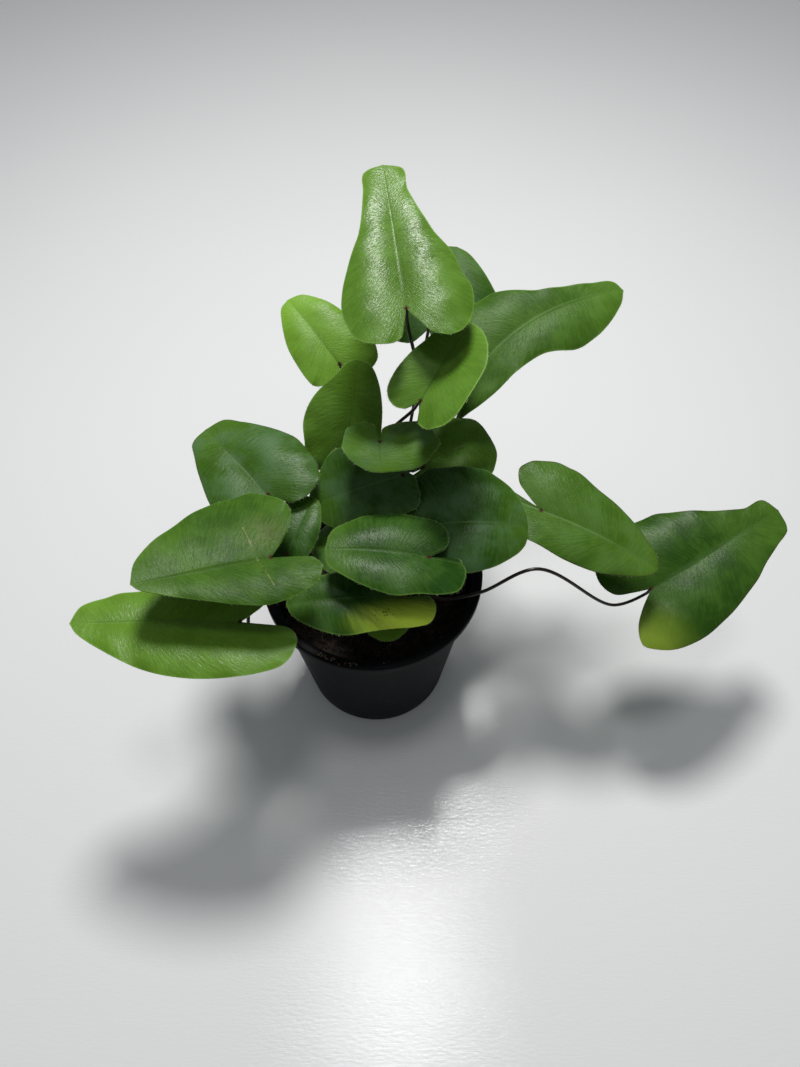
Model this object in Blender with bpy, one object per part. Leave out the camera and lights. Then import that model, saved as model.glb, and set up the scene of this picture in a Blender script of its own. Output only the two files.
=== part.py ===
"""A heart fern in a black plastic nursery pot.

Twenty heart shaped blades stand on thin dark stipes. The stipes grow from a short
scaly rhizome that sits in the soil of the pot. Sizes are in millimetres, and MM turns
them into metres. +Z is up, +X is to the right and -Y is the side that faces the viewer.
The origin is the middle of the pot's underside.
"""

import math
from dataclasses import dataclass

import bmesh
import bpy
import numpy as np
from mathutils import Vector

MM = 0.001
GAP = 0.3  # clearance between two pieces that touch on the real plant

# The pot: a tapered cup with a thick lip, a raised ring with drain holes and a notched foot
POT_HEIGHT = 80.0
RIM_RADIUS = 44.2
RIM_INNER_RADIUS = 41.1
LIP_HEIGHT = 3.8
LIP_STEP = 0.1  # slope of the lip's underside
LIP_ROUNDING = 0.8
WALL_TOP_RADIUS = 40.8
FOOT_RADIUS = 31.8
FOOT_ROUNDING = 1.6
WALL = 1.2
BASE_DISC_RADIUS = 19.0
DRAIN_RING = (20.6, 27.2)
DRAIN_RING_RISE = 2.0
DRAIN_RING_SLOPE = 1.4  # run of the sloped outer side of the ring
BASE_STEP = 0.7  # how far the inside of the drain ring lies within its outside
DRAIN_HOLES = 8
DRAIN_HOLE_RADIUS = 2.4
FOOT_NOTCHES = 6
FOOT_NOTCH_WIDTH = 9.0
FOOT_NOTCH_HEIGHT = 1.5
FOOT_NOTCH_SILL = 0.4
FOOT_NOTCH_SLOPE = 1.2  # run of the sloped end of a notch
FIRST_NOTCH_DEGREES = -102.0
POT_STEPS = 48

# The soil: it fills the cup to just below the lip
SOIL_LEVEL = 69.0
SOIL_MOUND = 1.6
SOIL_LUMPS = 0.7
SOIL_RINGS = 6
SOIL_STEPS = 48

# The rhizome: a low scaly dome in a pocket of the soil
CROWN = (4.0, 2.0)
CROWN_RADIUS = 11.8
CROWN_FOOT = 64.5
CROWN_SHOULDER = 70.5
CROWN_TOP = 74.0
CROWN_LUMPS = 0.35
CROWN_STEPS = 28
SOCKET_FLOOR = 67.0

# The fronds
BLADE_THICKNESS = 0.62
STIPE_RADIUS = 0.75
STIPE_TOP_SHARE = 0.8
BLADE_COLUMNS = 14
BLADE_ROWS = 3
STIPE_STEPS = 10
FOLD_FADE = 0.7  # how much flatter a blade is at its tip than at its sinus
TURN_WEIGHT = 0.8  # how much of a curve's points go to where it turns


@dataclass
class Frond:
    """One frond. A half is left or right of the midrib as seen from above, tip ahead."""

    name: str
    sinus: tuple  # the bottom of the notch, where the stipe meets the blade
    tip: tuple
    face: tuple  # the way the upper side looks
    left: tuple  # reach of the left half from the midrib at each of REACH_STATIONS
    right: tuple
    lobes: tuple  # how far the left and right lobe reach back past the sinus
    bow: float  # rise of the midrib above the straight line from sinus to tip
    folds: tuple  # degrees by which each half rises from the midrib
    curls: tuple  # degrees by which each half bends from the midrib to its margin
    socket: tuple  # its place on the rhizome: millimetres from the middle, and degrees
    via: tuple = ()  # points that the stipe passes on its way up
    notch: tuple = (0.2, 0.2)  # opening of the notch on each side, as a share of the reach
    sweep: float = 0  # sideways bend of the midrib, to the left where positive


REACH_STATIONS = (0.08, 0.3, 0.55, 0.8, 0.95)  # shares of the way from sinus to tip

FRONDS = (
    Frond("frond_01", (13, 37, 180), (5, 91.5, 197.4), (0, -0.3, 1),
          (21.5, 17.6, 11.4, 8.4, 7), (23.5, 19, 11.6, 7, 6.6), (12.5, 12),
          1, (24, 24), (-54, -54), (5.5, 85),
          ((6, 26, 101), (5, 40, 113), (17, 44, 127), (18.5, 39, 143)), notch=(0.14, 0.3)),
    Frond("frond_02", (22, 69, 144), (33.5, 101.5, 157.5), (0, -0.3, 1),
          (21, 19, 15, 9.4, 4.7), (27.5, 27.5, 22, 12.6, 5.4), (8, 8),
          2, (16, 16), (-36, -36), (9, 66)),
    Frond("frond_03", (-11.5, 49, 144.5), (-31.2, 71.9, 155.4), (0, -0.4, 1),
          (13.4, 13, 11.3, 7.4, 4), (16.4, 15, 13.1, 9.2, 5.2), (3.5, 8),
          2, (18, 18), (-38, -38), (9, 100)),
    Frond("frond_04", (41, 44, 150), (94, 71.5, 160), (0, -0.3, 1),
          (20, 18.5, 8.6, 5.2, 4), (12, 13.3, 18, 13.9, 6.2), (10, 20),
          3, (18, 18), (-40, -40), (9, 42), ((33, 47, 114),), notch=(0.2, 0.4), sweep=5),
    Frond("frond_05", (18, 17, 158), (35, 42, 170), (-0.3, -0.3, 1),
          (12.6, 12, 10, 7.6, 3.8), (19, 18, 16.2, 11.4, 5.7), (5.8, 8.5),
          1, (30, 30), (-10, -10), (3.5, 0), ((11, 17, 104), (12, 25, 121), (19, 27, 141)),
          notch=(0.26, 0.2)),
    Frond("frond_06", (-9.7, 26.8, 120.5), (-4.2, 47, 149), (0, -0.8, 0.6),
          (16, 17.2, 14.6, 7.8, 3.8), (13, 12.5, 11.4, 8.6, 5), (8, 8),
          1, (25, 25), (-20, -20), (9, 125)),
    Frond("frond_07", (12, 13.5, 123), (-23, 7, 112), (0, -0.5, 1),
          (14, 16.5, 16, 11, 5), (7, 12.5, 17, 10.5, 4.5), (4, 6),
          3, (10, 12), (-35, -15), (3.5, 160), ((9, 11, 108),), notch=(0.05, 0.1)),
    Frond("frond_08", (11, -9.5, 100), (-22, -1.8, 99), (0, -0.1, 1),
          (11, 12, 12.4, 9.5, 5.5), (16.5, 16.5, 16.5, 14.5, 9), (5, 8),
          3, (18, 18), (-42, -42), (5.5, -30), ((13, -3, 92),)),
    Frond("frond_09", (4, 13, 142), (5, 1.5, 139), (0, 0, 1),
          (19.5, 20.6, 18.2, 15.2, 11), (13.4, 12.6, 10.8, 7.6, 4), (8, 10.5),
          1.5, (12, 12), (-10, -30), (3, 80), ((8, 17, 104), (9, 23, 121)),
          notch=(0.08, 0.1)),
    Frond("frond_10", (20, 25, 113.5), (46.5, 38.5, 115.6), (0, -0.2, 1),
          (18.5, 17.5, 15.5, 12.5, 10), (17.5, 19, 18, 13.5, 7.5), (5, 8.8),
          3, (22, 22), (-45, -45), (6.3, 30), notch=(0.04, 0.04)),
    Frond("frond_11", (24, -3, 115), (58, -3, 113), (0, -0.3, 1),
          (23.6, 23.4, 22.6, 16.2, 7.8), (18.2, 19, 17.2, 12.6, 7.4), (10.5, 12),
          4, (20, 20), (-48, -48), (6.3, -6), ((23, 0, 101),)),
    Frond("frond_12", (64, 7, 110), (109, -10, 95), (0, -0.2, 1),
          (22.4, 19, 14.8, 9, 4.4), (14, 15, 13.6, 8.6, 3.8), (13, 15),
          3, (22, 22), (-45, -45), (9, 10), notch=(0.3, -0.2)),
    Frond("frond_13", (111, -8, 78), (163.8, 20.4, 92.2), (0, -0.2, 1),
          (27, 25.4, 16.4, 7.6, 6.8), (27.2, 25.2, 19.8, 12.4, 8.6), (15, 15.4),
          3, (24, 24), (-50, -50), (9, -30),
          ((27, -14, 80), (42, -15, 87), (62, -12, 99), (97, -12, 72)), notch=(0.2, 0.36)),
    Frond("frond_14", (-36.8, 4.6, 122.8), (-62.7, 33.8, 125.4), (0, -0.2, 1),
          (19.5, 18, 14.7, 10.6, 7.1), (22.5, 23.3, 19, 12.1, 8.1), (9.1, 9.7),
          2, (24, 24), (-48, -48), (9, 165), ((-32, 4, 90), (-40, 8, 103))),
    Frond("frond_15", (-31.8, -26.8, 129.2), (-74.6, -40.5, 134.7), (0, -0.1, 1),
          (17.8, 15.1, 10.7, 6.1, 2.7), (29, 27.8, 23, 15, 7.7), (15.3, 10.4),
          -0.5, (28, 5), (-48, -24), (5.5, -150), ((-36, -16, 98), (-37, -19, 110)),
          notch=(0.2, 0.35)),
    Frond("frond_16", (-29.3, -14.9, 113), (-20.5, 6.8, 118), (0, -0.1, 1),
          (7.5, 9.5, 11, 10.5, 7.5), (7.4, 8.2, 7.4, 5, 2.6), (5, 5),
          2, (18, 18), (-48, -48), (9, -178)),
    Frond("frond_17", (-43.7, -40.5, 110), (-99.4, -44.2, 115.6), (0, 0, 1),
          (21.6, 21, 17.5, 10, 4), (18.2, 16.6, 13.6, 10.3, 6.3), (19.3, 9.9),
          0.5, (26, 18), (-48, -40), (9, -130), ((-28, -15, 87), (-42.5, -26.5, 100)),
          notch=(0.12, 0.35)),
    Frond("frond_18", (21, -20, 119), (-15, -18.6, 122), (0, -0.05, 1),
          (15.6, 16.8, 14.6, 10.4, 6.4), (15.6, 16.6, 15.4, 12, 7.4), (13, 6.5),
          2, (26, 26), (-48, -48), (5.5, -60), ((28, -18, 92), (28.5, -23, 103)),
          notch=(-0.08, 0.25)),
    Frond("frond_19", (12, -27.7, 105), (-28.9, -32.5, 108), (0, -0.2, 1),
          (11.9, 12.6, 13.3, 9.3, 4.6), (10.9, 11.4, 10.5, 8.6, 4.3), (11.7, 7.6),
          3, (20, 20), (-45, -45), (9, -72), notch=(-0.05, 0.2)),
    Frond("frond_20", (5.8, -22, 80), (7, -33, 81), (0, -0.2, 1),
          (10, 9.4, 8.2, 5.6, 2.8), (10, 9.4, 8.2, 5.6, 2.8), (5, 5),
          1, (14, 14), (-38, -38), (9, -100)),
)


def clear_scene():
    for thing in list(bpy.data.objects):
        bpy.data.objects.remove(thing, do_unlink=True)


def material(name, colour, roughness, metallic=0.0):
    """A Principled material of one plain colour."""
    made = bpy.data.materials.new(name)
    made.use_nodes = True
    shader = made.node_tree.nodes["Principled BSDF"]
    shader.inputs["Base Color"].default_value = (*colour, 1.0)
    shader.inputs["Roughness"].default_value = roughness
    shader.inputs["Metallic"].default_value = metallic
    made.diffuse_color = (*colour, 1.0)
    return made


def add_mesh(name, points, faces, finish, smooth_below=None):
    """An object from points in millimetres. Faces that meet below the angle look smooth."""
    mesh = bpy.data.meshes.new(name)
    mesh.from_pydata([tuple(float(v) * MM for v in point) for point in points], [], faces)
    mesh.update()
    thing = bpy.data.objects.new(name, mesh)
    bpy.context.scene.collection.objects.link(thing)
    mesh.materials.append(finish)
    if smooth_below:
        mesh.shade_smooth()
        mesh.set_sharp_from_angle(angle=math.radians(smooth_below))
    return thing


def turned(name, profile, steps, finish):
    """A solid turned about Z from (radius, height) points that start and end on the axis."""
    points = []
    faces = []
    rings = []
    for radius, height in profile:
        if radius == 0:
            rings.append([len(points)])
            points.append((0, 0, height))
            continue
        rings.append(list(range(len(points), len(points) + steps)))
        for step in range(steps):
            angle = 2 * math.pi * step / steps
            points.append((radius * math.cos(angle), radius * math.sin(angle), height))
    for lower, upper in zip(rings, rings[1:]):
        for step in range(steps):
            after = (step + 1) % steps
            if len(lower) == 1:
                faces.append((lower[0], upper[after], upper[step]))
            elif len(upper) == 1:
                faces.append((lower[step], lower[after], upper[0]))
            else:
                faces.append((lower[step], lower[after], upper[after], upper[step]))
    return add_mesh(name, points, faces, finish, 30)


def cut_away(thing, cutter):
    """Cuts one object out of another with a Boolean, and hides the cutter."""
    cut = thing.modifiers.new("cut_" + cutter.name, "BOOLEAN")
    cut.operation = "DIFFERENCE"
    cut.object = cutter
    cutter.hide_render = True
    cutter.display_type = "WIRE"


def cylinders(name, places, radius, low, high, steps):
    """Upright cylinders in one mesh, to cut round holes with."""
    shape = bmesh.new()
    for x, y in places:
        made = bmesh.ops.create_cone(
            shape, cap_ends=True, segments=steps, radius1=radius * MM, radius2=radius * MM,
            depth=(high - low) * MM)
        bmesh.ops.translate(
            shape, verts=made["verts"], vec=Vector((x, y, (low + high) / 2)) * MM)
    mesh = bpy.data.meshes.new(name)
    shape.to_mesh(mesh)
    shape.free()
    thing = bpy.data.objects.new(name, mesh)
    bpy.context.scene.collection.objects.link(thing)
    return thing


def wall_radius(height):
    """Outer radius of the tapered wall at a height above the foot's rounding."""
    share = (height - FOOT_ROUNDING) / (POT_HEIGHT - LIP_HEIGHT - FOOT_ROUNDING)
    return FOOT_RADIUS + (WALL_TOP_RADIUS - FOOT_RADIUS) * share


def make_pot(finish):
    lip_foot = POT_HEIGHT - LIP_HEIGHT
    inner, outer = DRAIN_RING
    rise = DRAIN_RING_RISE
    ring_top = rise + WALL
    profile = (
        (0, 0),
        (BASE_DISC_RADIUS, 0),
        (inner, rise),
        (outer, rise),
        (outer + DRAIN_RING_SLOPE, 0),
        (FOOT_RADIUS - FOOT_ROUNDING, 0),
        (FOOT_RADIUS - 0.3 * FOOT_ROUNDING, 0.3 * FOOT_ROUNDING),
        (FOOT_RADIUS, FOOT_ROUNDING),
        (wall_radius(lip_foot), lip_foot),
        (RIM_RADIUS - LIP_ROUNDING, lip_foot + LIP_STEP),
        (RIM_RADIUS, lip_foot + LIP_ROUNDING),
        (RIM_RADIUS, POT_HEIGHT - LIP_ROUNDING),
        (RIM_RADIUS - LIP_ROUNDING, POT_HEIGHT),
        (RIM_INNER_RADIUS, POT_HEIGHT),
        (RIM_INNER_RADIUS - LIP_ROUNDING, POT_HEIGHT - LIP_ROUNDING),
        (WALL_TOP_RADIUS - WALL, lip_foot),
        (wall_radius(ring_top) - WALL, ring_top),
        (inner - BASE_STEP, ring_top),
        (BASE_DISC_RADIUS - BASE_STEP, WALL),
        (0, WALL),
    )
    pot = turned("pot", profile, POT_STEPS, finish)
    middle = (inner + outer) / 2
    turns = [2 * math.pi * (hole + 0.5) / DRAIN_HOLES for hole in range(DRAIN_HOLES)]
    places = [(middle * math.cos(turn), middle * math.sin(turn)) for turn in turns]
    drains = cylinders("drain_cutter", places, DRAIN_HOLE_RADIUS, -1, ring_top + 1, 10)
    cut_away(pot, drains)
    cut_away(pot, notch_cutter())
    return pot


def notch_cutter():
    """Blocks that cut the low openings through the foot ring, with sloping ends."""
    start = DRAIN_RING[1] - 1
    end = FOOT_RADIUS + 2
    half = FOOT_NOTCH_WIDTH / 2
    top_half = half - FOOT_NOTCH_SLOPE
    shape = ((-half, -1), (half, -1), (half, FOOT_NOTCH_SILL), (top_half, FOOT_NOTCH_HEIGHT),
             (-top_half, FOOT_NOTCH_HEIGHT), (-half, FOOT_NOTCH_SILL))
    points = []
    faces = []
    for notch in range(FOOT_NOTCHES):
        turn = math.radians(FIRST_NOTCH_DEGREES + 360 * notch / FOOT_NOTCHES)
        first = len(points)
        for radius in (start, end):
            for across, height in shape:
                points.append((
                    radius * math.cos(turn) - across * math.sin(turn),
                    radius * math.sin(turn) + across * math.cos(turn),
                    height,
                ))
        count = len(shape)
        faces.append(tuple(first + corner for corner in range(count))[::-1])
        faces.append(tuple(first + count + corner for corner in range(count)))
        for corner in range(count):
            after = (corner + 1) % count
            faces.append((
                first + corner, first + after, first + count + after, first + count + corner))
    return add_mesh("notch_cutter", points, faces, bpy.data.materials["black_plastic"])


def soil_height(x, y):
    """The lumpy top of the soil, a little higher round the rhizome."""
    away = math.hypot(x - CROWN[0], y - CROWN[1]) / 30
    lumps = math.sin(0.42 * x + 1.3) * math.sin(0.37 * y) + 0.6 * math.sin(0.81 * x - 0.7 * y)
    return SOIL_LEVEL + SOIL_MOUND * math.exp(-away * away) + SOIL_LUMPS * lumps


def make_soil(finish):
    inner = DRAIN_RING[0]
    ring_top = DRAIN_RING_RISE + WALL + GAP
    edge = wall_radius(SOIL_LEVEL - 2 * SOIL_LUMPS) - WALL - GAP
    foot = wall_radius(ring_top) - WALL - GAP
    low_rings = (
        (BASE_DISC_RADIUS - 0.9, WALL + GAP),
        (inner - 0.9, ring_top),
        (foot, ring_top),
    )
    points = [(0, 0, WALL + GAP)]
    rings = []
    turns = [2 * math.pi * step / SOIL_STEPS for step in range(SOIL_STEPS)]
    for radius, height in low_rings:
        rings.append(range(len(points), len(points) + SOIL_STEPS))
        points += [(radius * math.cos(turn), radius * math.sin(turn), height) for turn in turns]
    for ring in range(SOIL_RINGS, 0, -1):
        radius = edge * ring / SOIL_RINGS
        rings.append(range(len(points), len(points) + SOIL_STEPS))
        for turn in turns:
            x, y = radius * math.cos(turn), radius * math.sin(turn)
            points.append((x, y, soil_height(x, y)))
    points.append((0, 0, soil_height(0, 0)))
    faces = []
    for step in range(SOIL_STEPS):
        after = (step + 1) % SOIL_STEPS
        faces.append((0, rings[0][after], rings[0][step]))
        faces.append((rings[-1][step], rings[-1][after], len(points) - 1))
        for lower, upper in zip(rings, rings[1:]):
            faces.append((lower[step], lower[after], upper[after]))
            faces.append((lower[step], upper[after], upper[step]))
    soil = add_mesh("soil", points, faces, finish, 40)
    pocket = cylinders(
        "pocket_cutter", [CROWN], CROWN_RADIUS + GAP, CROWN_FOOT - GAP, POT_HEIGHT, CROWN_STEPS)
    cut_away(soil, pocket)
    return soil


def socket_place(frond):
    """Where a stipe grows from."""
    reach, turn = frond.socket[0], math.radians(frond.socket[1])
    return CROWN[0] + reach * math.cos(turn), CROWN[1] + reach * math.sin(turn)


def make_rhizome(finish):
    """The dome with small overlapping lumps, cut by one socket for each stipe."""
    levels = (
        (0.0, CROWN_FOOT), (0.86, CROWN_FOOT), (1.0, CROWN_FOOT + 1.2), (1.0, CROWN_SHOULDER),
        (0.82, 0.5 * (CROWN_SHOULDER + CROWN_TOP)), (0.5, CROWN_TOP - 0.6), (0.0, CROWN_TOP))
    points = []
    rings = []
    for level, (share, height) in enumerate(levels):
        if share == 0:
            rings.append([len(points)])
            points.append((*CROWN, height))
            continue
        rings.append(range(len(points), len(points) + CROWN_STEPS))
        for step in range(CROWN_STEPS):
            turn = 2 * math.pi * step / CROWN_STEPS
            lump = CROWN_LUMPS * math.sin(math.pi * step + 1.7 * level)
            radius = CROWN_RADIUS * share - CROWN_LUMPS + lump
            points.append((
                CROWN[0] + radius * math.cos(turn), CROWN[1] + radius * math.sin(turn), height))
    faces = []
    for step in range(CROWN_STEPS):
        after = (step + 1) % CROWN_STEPS
        faces.append((rings[0][0], rings[1][after], rings[1][step]))
        faces.append((rings[-2][step], rings[-2][after], rings[-1][0]))
        for lower, upper in zip(rings[1:-1], rings[2:-1]):
            faces.append((lower[step], lower[after], upper[after]))
            faces.append((lower[step], upper[after], upper[step]))
    rhizome = add_mesh("rhizome", points, faces, finish, 40)
    places = [socket_place(frond) for frond in FRONDS]
    sockets = cylinders(
        "socket_cutter", places, STIPE_RADIUS + GAP, SOCKET_FLOOR - GAP, POT_HEIGHT, 8)
    cut_away(rhizome, sockets)
    return rhizome


def smooth_curve(corners, steps):
    """Points along a Catmull-Rom curve that passes each corner, closer where it turns."""
    corners = np.array(corners, float)
    ends = np.vstack([2 * corners[0] - corners[1], corners, 2 * corners[-1] - corners[-2]])
    fine = []
    for before, start, stop, after in zip(ends, ends[1:], ends[2:], ends[3:]):
        knots = np.cumsum([0] + [
            np.linalg.norm(b - a) ** 0.5 for a, b in ((before, start), (start, stop), (stop, after))])
        for here in np.linspace(knots[1], knots[2], 24, endpoint=False):
            def between(a, b, low, high):
                return a + (b - a) * (here - low) / (high - low)
            first = between(before, start, knots[0], knots[1])
            second = between(start, stop, knots[1], knots[2])
            third = between(stop, after, knots[2], knots[3])
            left = between(first, second, knots[0], knots[2])
            right = between(second, third, knots[1], knots[3])
            fine.append(between(left, right, knots[1], knots[2]))
    fine.append(corners[-1])
    fine = np.array(fine)
    legs = np.diff(fine, axis=0)
    lengths = np.linalg.norm(legs, axis=1)
    aims = legs / lengths[:, None]
    turns = np.arccos(np.clip((aims[1:] * aims[:-1]).sum(axis=1), -1, 1))
    effort = lengths / lengths.sum()
    effort[1:] += TURN_WEIGHT * turns / turns.sum()
    run = np.concatenate([[0], np.cumsum(effort)])
    wanted = np.linspace(0, run[-1], steps + 1)
    return np.stack([np.interp(wanted, run, fine[:, axis]) for axis in range(fine.shape[1])], 1)


def blade_length(frond):
    return math.dist(frond.sinus, frond.tip)


def half_outline(frond, half, columns):
    """One half's margin on the flat blade, from the sinus round the lobe to the tip."""
    length = blade_length(frond)
    reaches = (frond.left, frond.right)[half]
    width = reaches[0]
    lobe = frond.lobes[half]
    notch = frond.notch[half]
    corners = [
        (0, 0),
        (-0.45 * lobe, 0.5 * notch * width),
        (-0.85 * lobe, 1.1 * notch * width),
        (-lobe, (0.27 + notch) * width),
        (-0.8 * lobe, 0.78 * width),
        (-0.3 * lobe, 0.95 * width),
    ]
    corners += [(share * length, reach) for share, reach in zip(REACH_STATIONS, reaches)]
    corners.append((length, 0))
    return smooth_curve(corners, columns)


def blade_axes(frond):
    """Unit vectors ahead to the tip, to the left half and out of the upper side."""
    ahead = Vector(frond.tip) - Vector(frond.sinus)
    ahead.normalize()
    face = Vector(frond.face)
    above = (face - face.dot(ahead) * ahead).normalized()
    return ahead, above.cross(ahead), above


def place_on_blade(frond, x, y):
    """The point of the bent blade for a point of the flat one: x ahead, y to the left."""
    length = blade_length(frond)
    share = x / length
    arch = 4 * share * (1 - max(share, 0))
    slope = 4 * (1 - 2 * max(share, 0)) / length
    half = 0 if y >= 0 else 1
    start = math.radians(frond.folds[half]) * (1 - FOLD_FADE * max(share, 0))
    bend = math.radians(frond.curls[half]) / max((frond.left, frond.right)[half])
    end = start + bend * abs(y)
    across = (math.sin(end) - math.sin(start)) / bend
    lift = (math.cos(start) - math.cos(end)) / bend
    climb, swing = math.atan(frond.bow * slope), math.atan(frond.sweep * slope)
    aside = math.copysign(across, y)
    ahead, left, above = blade_axes(frond)
    point = Vector(frond.sinus)
    point += ahead * (x - lift * math.sin(climb) - aside * math.sin(swing))
    point += left * (frond.sweep * arch + aside * math.cos(swing))
    point += above * (frond.bow * arch + lift * math.cos(climb))
    return point


def blade_sheet(frond, columns, rows):
    """Points and triangles of the blade's middle surface, and its margin in order."""
    length = blade_length(frond)
    points = []
    midrib = []
    for column in range(columns + 1):
        share = column / columns
        midrib.append(len(points))
        points.append(place_on_blade(frond, length * share ** 1.5, 0))
    faces = []
    margins = []
    for half, side in ((0, 1), (1, -1)):
        outline = half_outline(frond, half, columns)
        lines = [[midrib[0]] * (rows + 1)]
        for column in range(1, columns):
            inner = length * (column / columns) ** 1.5
            line = [midrib[column]]
            for row in range(1, rows + 1):
                part = row / rows
                x = inner + (outline[column][0] - inner) * part
                line.append(len(points))
                points.append(place_on_blade(frond, x, side * outline[column][1] * part))
            lines.append(line)
        lines.append([midrib[-1]] * (rows + 1))
        for near, far in zip(lines, lines[1:]):
            for row in range(rows):
                for corners in ((near[row], far[row], far[row + 1]),
                                (near[row], far[row + 1], near[row + 1])):
                    if len(set(corners)) == 3:
                        faces.append(corners if side > 0 else corners[::-1])
        margins.append([line[-1] for line in lines])
    return points, faces, margins[0] + margins[1][-2:0:-1]


def make_blade(frond, finish):
    """The sheet given its thickness: both faces are split into the same triangles."""
    points, faces, margin = blade_sheet(frond, BLADE_COLUMNS, BLADE_ROWS)
    outward = [Vector() for _ in points]
    for a, b, c in faces:
        normal = (points[b] - points[a]).cross(points[c] - points[a])
        for corner in (a, b, c):
            outward[corner] += normal
    outward = [normal.normalized() * BLADE_THICKNESS / 2 for normal in outward]
    count = len(points)
    upper = [point + normal for point, normal in zip(points, outward)]
    lower = [point - normal for point, normal in zip(points, outward)]
    solid = list(faces)
    solid += [(c + count, b + count, a + count) for a, b, c in faces]
    for here, after in zip(margin, margin[1:] + margin[:1]):
        solid.append((here, after, after + count))
        solid.append((here, after + count, here + count))
    return add_mesh(frond.name + "_blade", upper + lower, solid, finish, 40)


def stipe_route(frond):
    """Upright out of its socket, then in one sweep to the underside of the sinus."""
    x, y = socket_place(frond)
    ahead, _, above = blade_axes(frond)
    arrive = (above + 0.6 * ahead).normalized()
    under = BLADE_THICKNESS / 2 + GAP + STIPE_RADIUS
    end = Vector(frond.sinus) - above * under
    low = Vector((x, y, CROWN_TOP))
    reach = (end - low).length
    if frond.via:
        return [Vector((x, y, SOCKET_FLOOR)), Vector((x, y, SOCKET_FLOOR + 4)), low,
                *(Vector(point) for point in frond.via), end - arrive * 4, end]
    first = low + Vector((0, 0, 0.35 * reach))
    second = end - arrive * 0.3 * reach
    route = [Vector((x, y, SOCKET_FLOOR))]
    for step in range(STIPE_STEPS):
        t = step / (STIPE_STEPS - 1)
        s = 1 - t
        route.append(s**3 * low + 3 * s * s * t * first + 3 * s * t * t * second + t**3 * end)
    return route


def make_stipe(frond, finish):
    """A round tapering stalk as a curve with a bevel and closed ends."""
    route = stipe_route(frond)
    if frond.via:
        route = [Vector(point) for point in smooth_curve(route, STIPE_STEPS + 5 * len(frond.via))]
    curve = bpy.data.curves.new(frond.name + "_stipe", "CURVE")
    curve.dimensions = "3D"
    curve.bevel_depth = STIPE_RADIUS * MM
    curve.bevel_resolution = 1
    curve.use_fill_caps = True
    line = curve.splines.new("POLY")
    line.points.add(len(route) - 1)
    for index, point in enumerate(route):
        line.points[index].co = (*(point * MM), 1)
        line.points[index].radius = 1 - (1 - STIPE_TOP_SHARE) * index / (len(route) - 1)
    curve.materials.append(finish)
    thing = bpy.data.objects.new(frond.name + "_stipe", curve)
    bpy.context.scene.collection.objects.link(thing)
    return thing


def main():
    clear_scene()
    black_plastic = material("black_plastic", (0.012, 0.013, 0.016), 0.5)
    peat = material("peat", (0.022, 0.014, 0.009), 0.95)
    scales = material("rhizome_scales", (0.09, 0.045, 0.02), 0.8)
    green = material("blade_green", (0.055, 0.19, 0.03), 0.42)
    stalk = material("stipe_dark", (0.022, 0.008, 0.006), 0.35)
    make_pot(black_plastic)
    make_soil(peat)
    make_rhizome(scales)
    for frond in FRONDS:
        make_blade(frond, green)
        make_stipe(frond, stalk)


main()
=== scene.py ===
"""The looks of a heart fern in a black nursery pot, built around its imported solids.

Sizes are in millimetres, and MM turns them into metres. +Z is up, +X is to the right and
-Y is the side that faces the viewer. The origin is the middle of the pot's underside.
"""

import math
from dataclasses import dataclass

import bmesh
import bpy
import numpy as np
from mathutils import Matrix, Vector


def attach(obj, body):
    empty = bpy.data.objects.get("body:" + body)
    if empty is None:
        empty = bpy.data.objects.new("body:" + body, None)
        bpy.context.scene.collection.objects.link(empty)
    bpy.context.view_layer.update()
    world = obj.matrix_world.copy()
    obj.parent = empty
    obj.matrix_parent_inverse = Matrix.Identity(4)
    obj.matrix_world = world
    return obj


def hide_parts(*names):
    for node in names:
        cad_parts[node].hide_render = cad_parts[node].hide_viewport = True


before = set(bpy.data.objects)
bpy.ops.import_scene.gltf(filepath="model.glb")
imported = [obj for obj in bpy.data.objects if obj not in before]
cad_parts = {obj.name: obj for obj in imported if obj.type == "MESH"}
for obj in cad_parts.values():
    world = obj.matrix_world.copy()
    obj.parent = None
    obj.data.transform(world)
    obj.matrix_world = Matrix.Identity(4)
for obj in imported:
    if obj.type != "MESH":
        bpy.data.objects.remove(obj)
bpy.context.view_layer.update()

# Pot
# A thin tapered cup formed from black plastic, with a rolled lip and fine moulding ribs inside.
# It stands on a ring foot with six low notches, and a raised ring in its floor holds the drains.

MM = 0.001
POT_HEIGHT = 80.0
RIM_RADIUS = 44.2
LIP_HEIGHT = 3.8
LIP_ROUNDING = 0.8
LIP_STEP = 0.1  # slope of the lip's underside
WALL_TOP_RADIUS = 40.8
FOOT_RADIUS = 31.8
FOOT_ROUNDING = 1.6
WALL = 1.2
BASE_DISC_RADIUS = 19.0
DRAIN_RING = (20.6, 27.2)  # radii of its inside and outside
DRAIN_RING_RISE = 2.0
BASE_STEP = 0.7  # how far the inside of the drain ring lies within its outside
DRAIN_HOLES = 8
DRAIN_HOLE_RADIUS = 2.4
FOOT_NOTCHES = 6
FOOT_NOTCH_HALF_WIDTH = 4.5
FOOT_NOTCH_HEIGHT = 1.5
FOOT_NOTCH_SLOPE = 1.2  # run of the sloped end of a notch
FIRST_NOTCH_DEGREES = -102.0
POT_STEPS = 360
POT_RIBS = 120
POT_RIB_DEPTH = 0.16
PLASTIC_BLACK = (0.0012, 0.0014, 0.0024)
PLASTIC_PALE = (0.010, 0.0105, 0.014)
DUST_SPECK = (0.16, 0.15, 0.14)


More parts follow.
